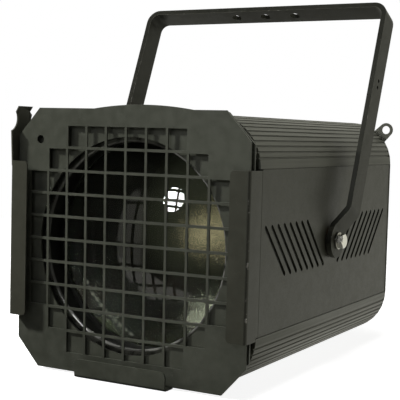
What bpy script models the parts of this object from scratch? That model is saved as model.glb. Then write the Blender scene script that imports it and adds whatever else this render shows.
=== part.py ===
"""Plano-convex stage spotlight: ribbed casings, lens, mesh guard, yoke and focus carriage.

Metres, +X to the right seen from the front, +Y to the rear, +Z up. The origin lies on the underside
of the channel below the front plate. Outlines of the housing are drawn from its centre line.
"""
import math

import bmesh
import bpy
from mathutils import Matrix

GAP = 0.0003  # clearance that pieces which touch keep
SHEET = 0.0012  # thickness of the folded sheet pieces

# Lens, which the housing is built round
LENS_RADIUS = 0.0750
DOME_RATIO = 1.616  # radius of the dome's curve over the lens's own radius
LENS_DROP = 0.0017
LENS_VERTEX = 0.00525
LENS_EDGE = 0.0045

# Housing
SIDE_MARGIN = 0.0205  # from the lens's edge out to the casings' flanks
TOP_MARGIN = 0.0144
STAND_HEIGHT = 0.0057  # from the casings down to the surface it stands on
CORNER_RADIUS = 0.0348
CASING_WALL = 0.0025
CASING_FRONT = 0.008
CASING_LENGTH = 0.2551
RIB_PITCH = 0.0040
GROOVE_WIDTH = 0.0016
GROOVE_DEPTH = 0.0010
PLAIN_BAND = 0.0073  # smooth strip between the seam and the first groove
SEAM_RISE = 0.0002  # seam above the corner's centre
PORT_DEPTH = 0.0058  # screw port's centre from the outside of the corner
PORT_ANGLE = 22.0
PORT_RADIUS = 0.0044

# Side panels
PANEL_INSET = 0.0004  # panel face inside the casing's face
PANEL_STEP = 0.0046  # from the casings' front to where the panel steps out to its flange
LIP_FRONT = -0.0069
LIP_WIDTH = 0.0145
LIP_TOP_DROP = 0.0008  # flange's ends from the seams
LIP_BOTTOM_DROP = 0.0019
LIP_CORNER = 0.0030
BEND_RADIUS = 0.0015
HOOK_HEIGHT = 0.0048  # panel edge that hooks behind the casing's wall
HOOK_CLEARANCE = 0.0010
SLOT_COUNT = 8
SLOT_WIDTH = 0.0030
SLOT_TOP = 0.0181
SLOT_BOTTOM = -0.0184
SLOT_START = 0.0063  # from the step to the upper end of the first slot
SLOT_MIDDLE = 0.0142  # from the lower end of the last slot to the pivot
SLOT_SLANT = 0.0320  # run of a slot from its upper to its lower end

# Retaining tab on the left panel, its heights down from its tip
TAB_REACH = 0.0036  # tip above the casings
TAB_ROOT = 0.0077  # rear edge of its foot, ahead of the casings
TAB_FOOT_RISE = 0.0120
TAB_NOTCH_RADIUS = 0.0092
TAB_NOTCH = (-0.0105, 0.0089)
TAB_NECK = ((0.0145, 0.0061), (0.0122, 0.0038))
TAB_TIP = (0.0146, -0.0007)
TAB_BEND = 0.0040
TAB_LEAN = 0.0008  # how far the tip leans in

# Front plate
PLATE_FRONT = 0.0029
PLATE_SHEET = 0.0014
PLATE_INSET = 0.0019  # plate's sides inside the casings'
PLATE_RISE = 0.0016  # plate's top above the casings
PLATE_CHAMFER = (0.0195, 0.0205)
CHANNEL_HALF_WIDTH = 0.0367
CHANNEL_LIP = 0.0131
CHANNEL_LIP_CORNER = 0.0040

# Mesh guard
GUARD_INSET = 0.0030
GUARD_DROP = 0.0008
GUARD_CHAMFER = (0.0178, 0.0196)
GUARD_LEAN = 0.85
MESH_PITCH = 0.0162
MESH_BAR = 0.0019
MESH_ROWS = (3, 4, 5, 5, 5)  # half rows of holes from the edge row to the middle row
MESH_CENTRE = (-0.0020, 0.0004)
FINGER_CENTRE = 0.0110
FINGER_HALF_WIDTH = 0.0390
FINGER_RISE = 0.0030
GUARD_HOLE_OFFSET = (0.0069, 0.0053)  # from the upper left end of the second row
GUARD_HOLE_RADIUS = 0.0030

# Lens holder
TUBE_CLEARANCE = 0.0020  # tube's bore outside the lens
TUBE_WALL = 0.0010
TUBE_FLANGE_WIDTH = 0.0060
TUBE_BEHIND = 0.0063  # tube's end behind the lens
RIM_LEDGE = 0.0037  # how far the rings reach in over the lens's edge
SEAT_LEDGE = 0.0015
RETAINER_LEDGE = 0.0035
RIM_FRONT = 0.0075
RIM_DEPTH = 0.0017

# Rear plate
REAR_SHEET = 0.0014
REAR_LIP_HALF_WIDTH = 0.0360
REAR_SLOT_COUNT = 7
REAR_SLOT_PITCH = 0.0100
REAR_SLOT_WIDTH = 0.0040
REAR_SLOT_BOTTOM = 0.0250
REAR_SLOT_TOP = 0.0600
TRAP_DEPTH = 0.0110  # light trap ahead of the rear plate's slots
TRAP_OVERLAP = 0.0070
TRAP_FOOT = 0.0080
EYE_BEYOND = 0.0068  # safety eye out from the corner, along 45 degrees
EYE_FOOT_INSET = 0.0118
EYE_RADIUS = 0.0060
EYE_HOLE_RADIUS = 0.0035
EYE_FOOT_RADIUS = 0.0073
EYE_SHEET = 0.0015

# Pivot and yoke
PIVOT_AHEAD = 0.00115  # pivot ahead of the casings' middle
PIVOT_Z = -0.0004
YOKE_TILT = 22.5
YOKE_CLEARANCE = 0.0107  # arms outside the casings
YOKE_REACH = 0.1956  # outer face of the top bar from the pivot
STRAP_WIDTH = 0.0200
STRAP_SHEET = 0.0040
YOKE_BEND = 0.0090
PAD_RADIUS = 0.0130
PAD_CLEARANCE = 0.0013  # room for a friction disc between pad and panel
JOGGLE_TOP = 0.0240
JOGGLE_BOTTOM = 0.0090
BAR_HOLE_RADIUS = 0.0042
BAR_HOLE_PITCH = 0.0270
ARM_HOLE_DROPS = (0.0641, 0.0696)  # down from the top bar
ARM_HOLE_RADIUS = 0.0016

# Pivot hardware
BOLT_RADIUS = 0.0030
HEX_ACROSS = 0.0100
HEAD_HEIGHT = 0.0040
NUT_HEIGHT = 0.0050
WASHER_RADIUS = 0.0065
DISC_RADIUS = 0.0100
NUT_FLANGE_RADIUS = 0.0110
NUT_FLANGE = 0.0020
TILT_HUB_RADIUS = 0.0070
TILT_HUB_LENGTH = 0.0100
TILT_KNOB_RADIUS = 0.0155
TILT_KNOB_LOBE = 0.0015
TILT_KNOB_LOBES = 6
TILT_KNOB_DEPTH = 0.0150

# Screws
SCREW_RADIUS = 0.0020
SCREW_HEAD_RADIUS = 0.0038
SCREW_HEAD_HEIGHT = 0.0024
SCREW_LENGTH = 0.0120
FLUSH_HEAD_RADIUS = 0.0034
SPACER_RADIUS = 0.0048

# Focus carriage and its drive
FOCUS_BEHIND = 0.0106  # filament at mid travel, behind the pivot
ROD_RADIUS = 0.0040
ROD_HALF_SPACING = 0.0440
ROD_RISE = 0.0249  # rods above the floor inside
LEAD_SCREW_RADIUS = 0.0040
LEAD_SCREW_RISE = 0.0099
BRACKET_BEHIND = 0.0030  # front bracket behind the lens tube
BRACKET_MARGIN = 0.0120  # its width beyond the rods
BRACKET_FOOT = 0.0170
BRACKET_EAR_RISE = 0.0070
BRACKET_EAR_INSET = 0.0100
BRACKET_WAIST_DROP = 0.0080
CARRIAGE_MARGIN = 0.0060
CARRIAGE_RISE = 0.0071  # tray above the lead screw
CARRIAGE_FRONT = 0.0300  # front ear ahead of the filament
CARRIAGE_EAR_RISE = 0.0120
UPRIGHT_HALF_WIDTH = 0.0090
UPRIGHT_RISE = 0.0077  # upright above the reflector's axis
GUIDE_TUBE_RADIUS = 0.0057
TUBE_STAND_OUT = 0.0020
NUT_BLOCK_HALF_WIDTH = 0.0080
NUT_BLOCK_HALF_LENGTH = 0.0090
NUT_BLOCK_DEPTH = 0.0060  # block below the lead screw's axis
COLLAR_RADIUS = 0.0070
COLLAR_LENGTH = 0.0040
KNOB_RADIUS = 0.0150
KNOB_DEPTH = 0.0160
KNOB_FLUTES = 12
KNOB_FLUTE_DEPTH = 0.0010

# Reflector and lamp
REFLECTOR_RADIUS = 0.0400
REFLECTOR_SHEET = 0.0008
REFLECTOR_SPAN = 50.0
REFLECTOR_RIM = 0.0030
RIVET_RADIUS = 0.0015
RIVET_HEAD_RADIUS = 0.0032
RIVET_HEAD_HEIGHT = 0.0012
HOLDER_HALF_WIDTH = 0.0190
HOLDER_HALF_DEPTH = 0.0110
HOLDER_HEIGHT = 0.0160
LAMP_BASE_RADIUS = 0.0115
LAMP_BASE_HEIGHT = 0.0120
LAMP_PIN_RADIUS = 0.0016
LAMP_PIN_LENGTH = 0.0110
LAMP_PIN_SPACING = 0.0095
ENVELOPE_RADIUS = 0.0100
ENVELOPE_RISE = 0.0267  # envelope's top above the filament

# Light baffles, cable gland and terminal block
BAFFLE_INSET = 0.0135  # inside the casings' flanks
BAFFLE_HALF_HEIGHT = 0.0500
BAFFLE_FRONT_INSET = 0.0070
BAFFLE_REAR_INSET = 0.0051
BAFFLE_TAB = 0.0160
GLAND_INSET = 0.0240  # gland's axis inside the left baffle
GLAND_RISE = 0.0220  # gland's axis above the rods
GLAND_RADIUS = 0.0080
GLAND_BORE = 0.0055
GLAND_ACROSS = 0.0220
GLAND_HEX_LENGTH = 0.0050
GLAND_INSIDE = 0.0070
GLAND_OUTSIDE = 0.0140
LOCKNUT_LENGTH = 0.0045
DOME_WALL = 0.0025
DOME_LENGTH = 0.0125
SEAL_BORE = 0.0040
TERMINAL_INSET = 0.0220
TERMINAL_Z = 0.0050
TERMINAL_SIZE = (0.0300, 0.0260, 0.0160)
TERMINAL_POLES = 3
TERMINAL_PITCH = 0.0090
TERMINAL_HOLE = 0.0018

# Sizes that follow: lens and its holder
LENS_CURVE = LENS_RADIUS * DOME_RATIO
LENS_SAG = LENS_CURVE - math.sqrt(LENS_CURVE**2 - LENS_RADIUS**2)
LENS_BACK = LENS_VERTEX + LENS_SAG + LENS_EDGE
LENS_OPENING = LENS_RADIUS - GAP / 3
PLATE_BACK = PLATE_FRONT + PLATE_SHEET
TUBE_INNER = LENS_RADIUS + TUBE_CLEARANCE
TUBE_OUTER = TUBE_INNER + TUBE_WALL
TUBE_FRONT = PLATE_BACK + GAP
TUBE_REAR = LENS_BACK + TUBE_BEHIND
TUBE_FIT = TUBE_INNER - GAP
SEAT_INNER = LENS_RADIUS - SEAT_LEDGE

# Sizes that follow: housing
CASING_HALF_WIDTH = LENS_RADIUS + SIDE_MARGIN
CASING_HALF_HEIGHT = LENS_RADIUS + TOP_MARGIN
AXIS_HEIGHT = CASING_HALF_HEIGHT + STAND_HEIGHT  # centre line above the surface it stands on
CASING_REAR = CASING_FRONT + CASING_LENGTH
CORNER_X = CASING_HALF_WIDTH - CORNER_RADIUS
CORNER_Z = CASING_HALF_HEIGHT - CORNER_RADIUS
SEAM_HEIGHT = CORNER_Z + SEAM_RISE
FLOOR_INSIDE = -CASING_HALF_HEIGHT + CASING_WALL
PORT_OFFSET = CORNER_RADIUS - PORT_DEPTH
PORT_X = CORNER_X + PORT_OFFSET * math.cos(math.radians(PORT_ANGLE))
PORT_Z = CORNER_Z + PORT_OFFSET * math.sin(math.radians(PORT_ANGLE))
SCREW_HOLE = SCREW_RADIUS + GAP
BOLT_HOLE = BOLT_RADIUS + GAP
PIVOT_Y = CASING_FRONT + CASING_LENGTH / 2 - PIVOT_AHEAD
PANEL_OUTER = CASING_HALF_WIDTH - PANEL_INSET
PANEL_INNER = PANEL_OUTER - SHEET
PANEL_TOP = SEAM_HEIGHT - GAP / 2
PANEL_FOLD = CASING_FRONT + PANEL_STEP
SLOT_FIRST = PANEL_FOLD + SLOT_START
SLOT_PITCH = (PIVOT_Y - SLOT_MIDDLE - SLOT_SLANT - SLOT_FIRST) / (SLOT_COUNT - 1)
LIP_INNER = CASING_HALF_WIDTH - LIP_WIDTH
LIP_TOP = SEAM_HEIGHT - LIP_TOP_DROP
LIP_BOTTOM = -SEAM_HEIGHT - LIP_BOTTOM_DROP
TAB_TOP = CASING_HALF_HEIGHT + TAB_REACH
PLATE_HALF_WIDTH = CASING_HALF_WIDTH - PLATE_INSET
PLATE_HALF_HEIGHT = CASING_HALF_HEIGHT + PLATE_RISE
CHANNEL_LIP_TOP = CHANNEL_LIP - AXIS_HEIGHT
GUARD_HALF_WIDTH = CASING_HALF_WIDTH - GUARD_INSET
GUARD_HALF_HEIGHT = AXIS_HEIGHT - SHEET - GAP - GUARD_DROP
REAR_FRONT = CASING_REAR + GAP
REAR_BACK = REAR_FRONT + REAR_SHEET
EYE_REACH = CORNER_RADIUS + EYE_BEYOND
EYE_FOOT_REACH = CORNER_RADIUS - EYE_FOOT_INSET
YOKE_OUTER = CASING_HALF_WIDTH + YOKE_CLEARANCE + STRAP_SHEET
PAD_INNER = PANEL_OUTER + PAD_CLEARANCE
BAFFLE_INNER = CASING_HALF_WIDTH - BAFFLE_INSET
BAFFLE_FRONT = CASING_FRONT + BAFFLE_FRONT_INSET
BAFFLE_REAR = CASING_REAR - BAFFLE_REAR_INSET
TERMINAL_X = TERMINAL_INSET - BAFFLE_INNER

# Sizes that follow: focus carriage and lamp
FILAMENT_Z = -LENS_DROP
FOCUS_Y = PIVOT_Y + FOCUS_BEHIND
ROD_Z = FLOOR_INSIDE + ROD_RISE
LEAD_SCREW_Z = FLOOR_INSIDE + LEAD_SCREW_RISE
ROD_HOLE = ROD_RADIUS + GAP
LEAD_HOLE = LEAD_SCREW_RADIUS + GAP
BRACKET_Y = TUBE_REAR + BRACKET_BEHIND
BRACKET_HALF_WIDTH = ROD_HALF_SPACING + BRACKET_MARGIN
BRACKET_EAR_TOP = ROD_Z + BRACKET_EAR_RISE
BRACKET_EAR_INNER = ROD_HALF_SPACING - BRACKET_EAR_INSET
BRACKET_WAIST = ROD_Z - BRACKET_WAIST_DROP
CARRIAGE_HALF_WIDTH = ROD_HALF_SPACING + CARRIAGE_MARGIN
CARRIAGE_FLOOR = LEAD_SCREW_Z + CARRIAGE_RISE
CARRIAGE_EAR_TOP = ROD_Z + CARRIAGE_EAR_RISE
UPRIGHT_TOP = FILAMENT_Z + UPRIGHT_RISE
REFLECTOR_BACK = REFLECTOR_RADIUS + REFLECTOR_SHEET
CARRIAGE_REAR = REFLECTOR_BACK + GAP + SHEET / 2
HOLDER_TOP = CARRIAGE_FLOOR + SHEET / 2 + GAP + HOLDER_HEIGHT
ENVELOPE_TOP = FILAMENT_Z + ENVELOPE_RISE
GLAND_X = GLAND_INSET - BAFFLE_INNER
GLAND_Z = ROD_Z + GLAND_RISE

# Placements: a flat outline stands facing the front, on its side, or turned to an axis
LEVEL = Matrix.Translation((0, 0, AXIS_HEIGHT))
FACING = Matrix.Rotation(math.radians(90), 4, "X")  # outline (X, Z), thickness towards the front
SIDEWAYS = Matrix(((0, 0, 1, 0), (1, 0, 0, 0), (0, 1, 0, 0), (0, 0, 0, 1)))  # outline (Y, Z)
TO_REAR = Matrix.Rotation(math.radians(-90), 4, "X")  # turned piece, local Z to the rear
TO_RIGHT = Matrix.Rotation(math.radians(90), 4, "Y")  # turned piece, local Z to the right


def at(x=0.0, y=0.0, z=0.0):
    """Placement at a point given from the housing's centre line."""
    return LEVEL @ Matrix.Translation((x, y, z))


def material(name, colour, roughness, metallic=0.0, glass=0.0):
    mat = bpy.data.materials.new(name)
    mat.use_nodes = True
    shader = mat.node_tree.nodes["Principled BSDF"]
    shader.inputs["Base Color"].default_value = (*colour, 1)
    shader.inputs["Roughness"].default_value = roughness
    shader.inputs["Metallic"].default_value = metallic
    shader.inputs["Transmission Weight"].default_value = glass
    return mat


# Outlines, as lists of points


def arc(centre, radius, start, end, steps):
    """Points on an arc, angles in degrees, both ends included."""
    angles = [math.radians(start + (end - start) * i / steps) for i in range(steps + 1)]
    return [(centre[0] + radius * math.cos(a), centre[1] + radius * math.sin(a)) for a in angles]


def circle(centre, radius, steps=16):
    return arc(centre, radius, 0, 360, steps)[:-1]


def rectangle(left, bottom, right, top):
    return [(left, bottom), (right, bottom), (right, top), (left, top)]


def hexagon(across, centre=(0, 0)):
    return circle(centre, across / math.sqrt(3), 6)


def slot(start, end, width, steps=3):
    """Slot with round ends between two end centres."""
    heading = math.degrees(math.atan2(end[1] - start[1], end[0] - start[0]))
    head = arc(end, width / 2, heading - 90, heading + 90, steps)
    tail = arc(start, width / 2, heading + 90, heading + 270, steps)
    return head + tail


def rounded_path(points, radius, steps=4):
    """Open path whose corners are rounded on the centre line."""
    path = [points[0]]
    for before, corner, after in zip(points, points[1:], points[2:]):
        ux, uy = corner[0] - before[0], corner[1] - before[1]
        vx, vy = after[0] - corner[0], after[1] - corner[1]
        turn = math.atan2(ux * vy - uy * vx, ux * vx + uy * vy)
        cut = radius * math.tan(abs(turn) / 2)
        heading = math.atan2(uy, ux)
        side = math.copysign(1, turn)
        start = (corner[0] - cut * math.cos(heading), corner[1] - cut * math.sin(heading))
        centre = (
            start[0] - side * radius * math.sin(heading),
            start[1] + side * radius * math.cos(heading),
        )
        first = math.degrees(heading) - side * 90
        path += arc(centre, radius, first, first + math.degrees(turn), steps)
    return path + [points[-1]]


def ribbon(path, thickness):
    """Outline of a bent strip that follows a centre line."""
    sides = ([], [])
    for i, point in enumerate(path):
        before = path[max(i - 1, 0)]
        after = path[min(i + 1, len(path) - 1)]
        ins = math.atan2(point[1] - before[1], point[0] - before[0]) if i > 0 else None
        outs = math.atan2(after[1] - point[1], after[0] - point[0]) if i < len(path) - 1 else None
        ins = outs if ins is None else ins
        outs = ins if outs is None else outs
        half_turn = math.remainder(outs - ins, 2 * math.pi) / 2
        reach = thickness / 2 / math.cos(half_turn)
        normal = ins + half_turn + math.pi / 2
        for sign, side in zip((1, -1), sides):
            side.append((point[0] + sign * reach * math.cos(normal),
                         point[1] + sign * reach * math.sin(normal)))
    return sides[0] + sides[1][::-1]


def mirrored(points):
    return [(-x, y) for x, y in points]


# Solids, as bmesh


def sheet(outline, thickness, holes=()):
    """Flat piece on local Z from 0 to its thickness, with its holes."""
    bm = bmesh.new()
    edges = []
    for loop in (outline, *holes):
        verts = [bm.verts.new((x, y, 0)) for x, y in loop]
        edges += [bm.edges.new(pair) for pair in zip(verts, verts[1:] + verts[:1])]
    if holes:
        bmesh.ops.triangle_fill(bm, use_beauty=True, use_dissolve=False, edges=edges)
    else:
        bm.faces.new(bm.verts[:])
    result = bmesh.ops.extrude_face_region(bm, geom=bm.faces[:])
    raised = [item for item in result["geom"] if isinstance(item, bmesh.types.BMVert)]
    bmesh.ops.translate(bm, vec=(0, 0, thickness), verts=raised)
    return bm


def turned(profile, steps=48):
    """Solid of revolution about local Z from a profile of (radius, height)."""
    bm = bmesh.new()
    verts = [bm.verts.new((r, 0, z)) for r, z in profile]
    pairs = list(zip(verts, verts[1:]))
    if profile[0][0] > 0:
        pairs.append((verts[-1], verts[0]))
    edges = [bm.edges.new(pair) for pair in pairs]
    bmesh.ops.spin(bm, geom=verts + edges, cent=(0, 0, 0), axis=(0, 0, 1),
                   angle=2 * math.pi, steps=steps, use_merge=True)
    bmesh.ops.remove_doubles(bm, verts=bm.verts, dist=1e-6)
    return bm


def ring(inner, outer, start, end, steps=48):
    return turned([(inner, start), (outer, start), (outer, end), (inner, end)], steps)


def rod(radius, start, end, steps=16):
    return turned([(0, start), (radius, start), (radius, end), (0, end)], steps)


def moved(bm, placement):
    bm.transform(placement)
    return bm


def group(solids):
    """Separate shapes as one group, such as a set of bores."""
    whole = bmesh.new()
    for item in solids:
        mesh = bpy.data.meshes.new("member")
        item.to_mesh(mesh)
        item.free()
        whole.from_mesh(mesh)
        bpy.data.meshes.remove(mesh)
    return whole


def rounded_corners(bm, radius, chosen, steps=4):
    """Rounds the corners of a sheet's two outer sides where both ends of an edge pass the test."""
    level = [e for e in bm.edges if abs(e.verts[0].co.z - e.verts[1].co.z) < 1e-6]
    edges = [e for e in level if all(chosen(v.co) for v in e.verts)]
    bmesh.ops.bevel(bm, geom=edges, offset=radius, segments=steps, affect="EDGES", profile=0.5)
    return bm


# Objects


def solid(name, bm, mat, placement):
    """Object from a bmesh, with its faces outward and its round faces smooth."""
    bmesh.ops.recalc_face_normals(bm, faces=bm.faces)
    mesh = bpy.data.meshes.new(name)
    bm.to_mesh(mesh)
    bm.free()
    mesh.materials.append(mat)
    mesh.shade_smooth()
    mesh.set_sharp_from_angle(angle=math.radians(35))
    obj = bpy.data.objects.new(name, mesh)
    bpy.context.collection.objects.link(obj)
    obj.matrix_world = placement
    return obj


def copies(name, bm, mat, placements):
    """The same piece at each placement, numbered from 1, all with one mesh."""
    first = solid(name + "_1", bm, mat, placements[0])
    for number, placement in enumerate(placements[1:], 2):
        obj = bpy.data.objects.new(f"{name}_{number}", first.data)
        bpy.context.collection.objects.link(obj)
        obj.matrix_world = placement


def tool(name, bm, placement):
    """Shape that only cuts, joins or trims another one."""
    obj = solid(name, bm, bpy.data.materials["steel"], placement)
    obj.hide_render = True
    obj.display_type = "WIRE"
    return obj


def shaped(obj, operation, *tools):
    for other in tools:
        modifier = obj.modifiers.new(other.name, "BOOLEAN")
        modifier.operation = operation
        modifier.solver = "EXACT"
        modifier.object = other
    return obj


def carried(name, placement, pieces):
    """Empty on a joint's axis that carries the pieces which move about it."""
    empty = bpy.data.objects.new(name, None)
    bpy.context.collection.objects.link(empty)
    empty.matrix_world = placement
    for piece in pieces:
        piece.parent = empty
        piece.matrix_parent_inverse = placement.inverted()


# Casings


def casing_outside():
    """Ribbed outer contour from the right seam over the top to the left seam."""
    quarter = CORNER_RADIUS * math.pi / 2
    half_length = CORNER_X + quarter
    count = round((half_length - PLAIN_BAND) / RIB_PITCH)

    def contour(run, depth):
        """Point at a run from the top's centre, sunk below the rib tops."""
        side = math.copysign(1, run)
        angle = max(abs(run) - CORNER_X, 0) / CORNER_RADIUS
        x = min(abs(run), CORNER_X) + (CORNER_RADIUS - depth) * math.sin(angle)
        return side * x, CORNER_Z + (CORNER_RADIUS - depth) * math.cos(angle)

    edge = math.asin((SEAM_HEIGHT + GAP / 2 - CORNER_Z) / CORNER_RADIUS)
    last = half_length - edge * CORNER_RADIUS
    points = [contour(last, 0), contour(last - PLAIN_BAND / 2, 0)]
    for k in range(count, -count - 1, -1):
        run = k * RIB_PITCH
        points.append(contour(run + GROOVE_WIDTH / 2, 0))
        points.append(contour(run + GROOVE_WIDTH / 4, GROOVE_DEPTH))
        points.append(contour(run - GROOVE_WIDTH / 4, GROOVE_DEPTH))
        points.append(contour(run - GROOVE_WIDTH / 2, 0))
    return points + [contour(PLAIN_BAND / 2 - last, 0), contour(-last, 0)]


def casing_corner():
    """Inner contour of the right corner, from the top down, with the screw port's boss."""
    wall = CORNER_RADIUS - CASING_WALL
    flank = math.degrees(math.asin(PORT_RADIUS / PORT_OFFSET))
    edge = math.degrees(math.asin((SEAM_HEIGHT + GAP / 2 - CORNER_Z) / wall))
    centre = (CORNER_X, CORNER_Z)
    boss = []
    for i in range(9):
        offset = flank * (1 - i / 4)
        run = PORT_OFFSET * math.cos(math.radians(offset))
        rise = PORT_OFFSET * math.sin(math.radians(offset))
        reach = run - math.sqrt(max(PORT_RADIUS**2 - rise**2, 0))
        angle = math.radians(PORT_ANGLE + offset)
        boss.append((centre[0] + reach * math.cos(angle), centre[1] + reach * math.sin(angle)))
    above = arc(centre, wall, 90, PORT_ANGLE + flank, 8)
    below = arc(centre, wall, PORT_ANGLE - flank, edge, 2)
    return above + boss + below


def casing_section():
    corner = casing_corner()
    return casing_outside() + mirrored(corner)[::-1] + corner


def casing(name, side, mat):
    """Ribbed casing, the upper one for side 1 and the lower one for side -1."""
    section = [(x, side * z) for x, z in casing_section()]
    ports = [circle((x, side * PORT_Z), SCREW_HOLE, 12) for x in (PORT_X, -PORT_X)]
    return solid(name, sheet(section, CASING_LENGTH, ports), mat, at(y=CASING_REAR) @ FACING)


# Side panels


def vent_slots():
    """Slanted slots, alike on both sides of the pivot."""
    slots = []
    end = SLOT_WIDTH / 2
    for i in range(SLOT_COUNT):
        upper = SLOT_FIRST + i * SLOT_PITCH
        lower = upper + SLOT_SLANT
        for y1, y2 in ((upper, lower), (2 * PIVOT_Y - upper, 2 * PIVOT_Y - lower)):
            slots.append(slot((y1, SLOT_TOP - end), (y2, SLOT_BOTTOM + end), SLOT_WIDTH))
    return slots


def panel_front(side):
    """Flange and lip in front of the fold, as a bent strip that overlaps the skin."""
    middle = CASING_HALF_WIDTH - SHEET / 2
    skin_middle = PANEL_OUTER - SHEET / 2
    front = LIP_FRONT + SHEET / 2
    path = rounded_path([(LIP_INNER, front), (middle, front), (middle, PANEL_FOLD - SHEET)], BEND_RADIUS)
    path += [(skin_middle, PANEL_FOLD), (skin_middle, PANEL_FOLD + 3 * SHEET)]
    strip = sheet([(side * x, y) for x, y in ribbon(path, SHEET * 0.9)], LIP_TOP - LIP_BOTTOM)
    strip = rounded_corners(strip, LIP_CORNER, lambda co: abs(abs(co.x) - LIP_INNER) < 1e-6)
    flange = tool("panel_front", strip, at(z=LIP_BOTTOM))
    corner = rectangle(CASING_FRONT - GAP, -CASING_HALF_HEIGHT, PANEL_FOLD + 8 * SHEET, GAP - PANEL_TOP)
    below = sheet(corner, 8 * SHEET)
    notch = tool("panel_front_notch", below, at(x=side * CASING_HALF_WIDTH - 4 * SHEET) @ SIDEWAYS)
    return shaped(flange, "DIFFERENCE", notch)


def panel_hook(side, height):
    """Edge folded in and up, so that it hooks behind the casing's wall."""
    x = CASING_HALF_WIDTH - CASING_WALL - HOOK_CLEARANCE - SHEET / 2
    z = PANEL_TOP - SHEET
    corners = [(PANEL_INNER + SHEET / 2, z), (x, z), (x, PANEL_TOP + HOOK_HEIGHT)]
    path = rounded_path(corners, BEND_RADIUS / 2)
    section = [(side * px, height * pz) for px, pz in ribbon(path, SHEET)]
    length = CASING_LENGTH - (PANEL_FOLD + 4 * SHEET - CASING_FRONT)
    return tool("panel_hook", sheet(section, length), at(y=CASING_REAR - GAP) @ FACING)


def retaining_tab():
    """Tab above the left panel's flange, notched in front, its tip leaning in."""
    notch = arc((TAB_NOTCH[0], TAB_TOP - TAB_NOTCH[1]), TAB_NOTCH_RADIUS, -72, 32, 8)
    foot = LIP_TOP - 3 * SHEET
    tip = [(y, TAB_TOP) for y in sorted(TAB_TIP)]
    neck = [(y, TAB_TOP - drop) for y, drop in TAB_NECK[::-1]]
    outline = [(LIP_FRONT + SHEET / 2, foot), *notch, *tip, *neck,
               (TAB_ROOT, LIP_TOP + TAB_FOOT_RISE), (TAB_ROOT, foot)]
    tab = sheet(outline, SHEET)
    for vert in tab.verts:
        above = max(vert.co.y - TAB_TOP + TAB_BEND, 0) / TAB_BEND
        vert.co.z += above * TAB_LEAN
    return tool("retaining_tab", tab, at(x=-PANEL_OUTER) @ SIDEWAYS)


def side_panel(name, side, mat):
    """Side panel, the right one for side 1 and the left one for side -1."""
    outline = rectangle(PANEL_FOLD - SHEET / 4, -PANEL_TOP, CASING_REAR, PANEL_TOP)
    skin = sheet(outline, SHEET, vent_slots() + [circle((PIVOT_Y, PIVOT_Z), BOLT_HOLE)])
    near = PANEL_INNER if side > 0 else -PANEL_OUTER
    panel = solid(name, skin, mat, at(x=near) @ SIDEWAYS)
    shaped(panel, "UNION", panel_front(side), panel_hook(side, 1), panel_hook(side, -1))
    if side < 0:
        shaped(panel, "UNION", retaining_tab())
    return panel


# Front plate, its fasteners and the guard


def chamfered(half_width, half_height, chamfer):
    """Rectangle with cut corners, from the lower right corner round to the left."""
    cx, cz = chamfer
    right = [
        (half_width - cx, -half_height),
        (half_width, cz - half_height),
        (half_width, half_height - cz),
        (half_width - cx, half_height),
    ]
    return right + mirrored(right)[::-1]


def port_places():
    return [(x, z) for x in (PORT_X, -PORT_X) for z in (PORT_Z, -PORT_Z)]


def front_screw_places():
    return [at(x, PLATE_FRONT, z) @ TO_REAR for x, z in port_places()]


def flush_screw(thickness):
    """Screw from its flat head at 0 in through a sheet."""
    return turned([(0, 0), (FLUSH_HEAD_RADIUS, 0), (SCREW_RADIUS, thickness),
                   (SCREW_RADIUS, SCREW_LENGTH), (0, SCREW_LENGTH)], 12)


def countersinks(thickness, placements):
    """Cones that open a sheet from 0 to its thickness for flush heads, with a margin on both faces."""
    wide = FLUSH_HEAD_RADIUS + GAP
    slope = (wide - SCREW_HOLE) / thickness
    margin = SCREW_HOLE / slope / 2
    profile = [(0, -margin), (wide + slope * margin, -margin),
               (SCREW_HOLE - slope * margin, thickness + margin), (0, thickness + margin)]
    cones = [moved(turned(profile, 12), placement) for placement in placements]
    return tool("countersinks", group(cones), Matrix())


def front_plate(mat):
    """Plate with the lens opening, whose lower edge folds forward and up into a channel."""
    outline = chamfered(PLATE_HALF_WIDTH, PLATE_HALF_HEIGHT, PLATE_CHAMFER)
    tongue = GAP - AXIS_HEIGHT
    outline += [(-CHANNEL_HALF_WIDTH, -PLATE_HALF_HEIGHT), (-CHANNEL_HALF_WIDTH, tongue),
                (CHANNEL_HALF_WIDTH, tongue), (CHANNEL_HALF_WIDTH, -PLATE_HALF_HEIGHT)]
    opening = circle((0, -LENS_DROP), LENS_OPENING, 48)
    plate = solid("front_plate", sheet(outline, PLATE_SHEET, [opening]), mat, at(y=PLATE_BACK) @ FACING)
    floor = -AXIS_HEIGHT + SHEET / 2
    path = [(PLATE_BACK - SHEET / 3, floor), (LIP_FRONT + SHEET / 2, floor),
            (LIP_FRONT + SHEET / 2, CHANNEL_LIP_TOP)]
    channel = sheet(ribbon(rounded_path(path, BEND_RADIUS), SHEET), 2 * CHANNEL_HALF_WIDTH)
    channel = rounded_corners(channel, CHANNEL_LIP_CORNER, lambda co: abs(co.y - CHANNEL_LIP_TOP) < 1e-6)
    fold = tool("channel", channel, at(x=-CHANNEL_HALF_WIDTH) @ SIDEWAYS)
    shaped(plate, "UNION", fold)
    return shaped(plate, "DIFFERENCE", countersinks(PLATE_SHEET, front_screw_places()))


def front_fasteners(steel):
    """Flush screws through the front plate, and the spacers that hold it off the casings."""
    copies("front_screw", flush_screw(PLATE_SHEET), steel, front_screw_places())
    spacer = ring(SCREW_HOLE, SPACER_RADIUS, GAP, CASING_FRONT - GAP - PLATE_BACK, 12)
    copies("front_spacer", spacer, steel, [at(x, PLATE_BACK, z) @ TO_REAR for x, z in port_places()])


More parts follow.
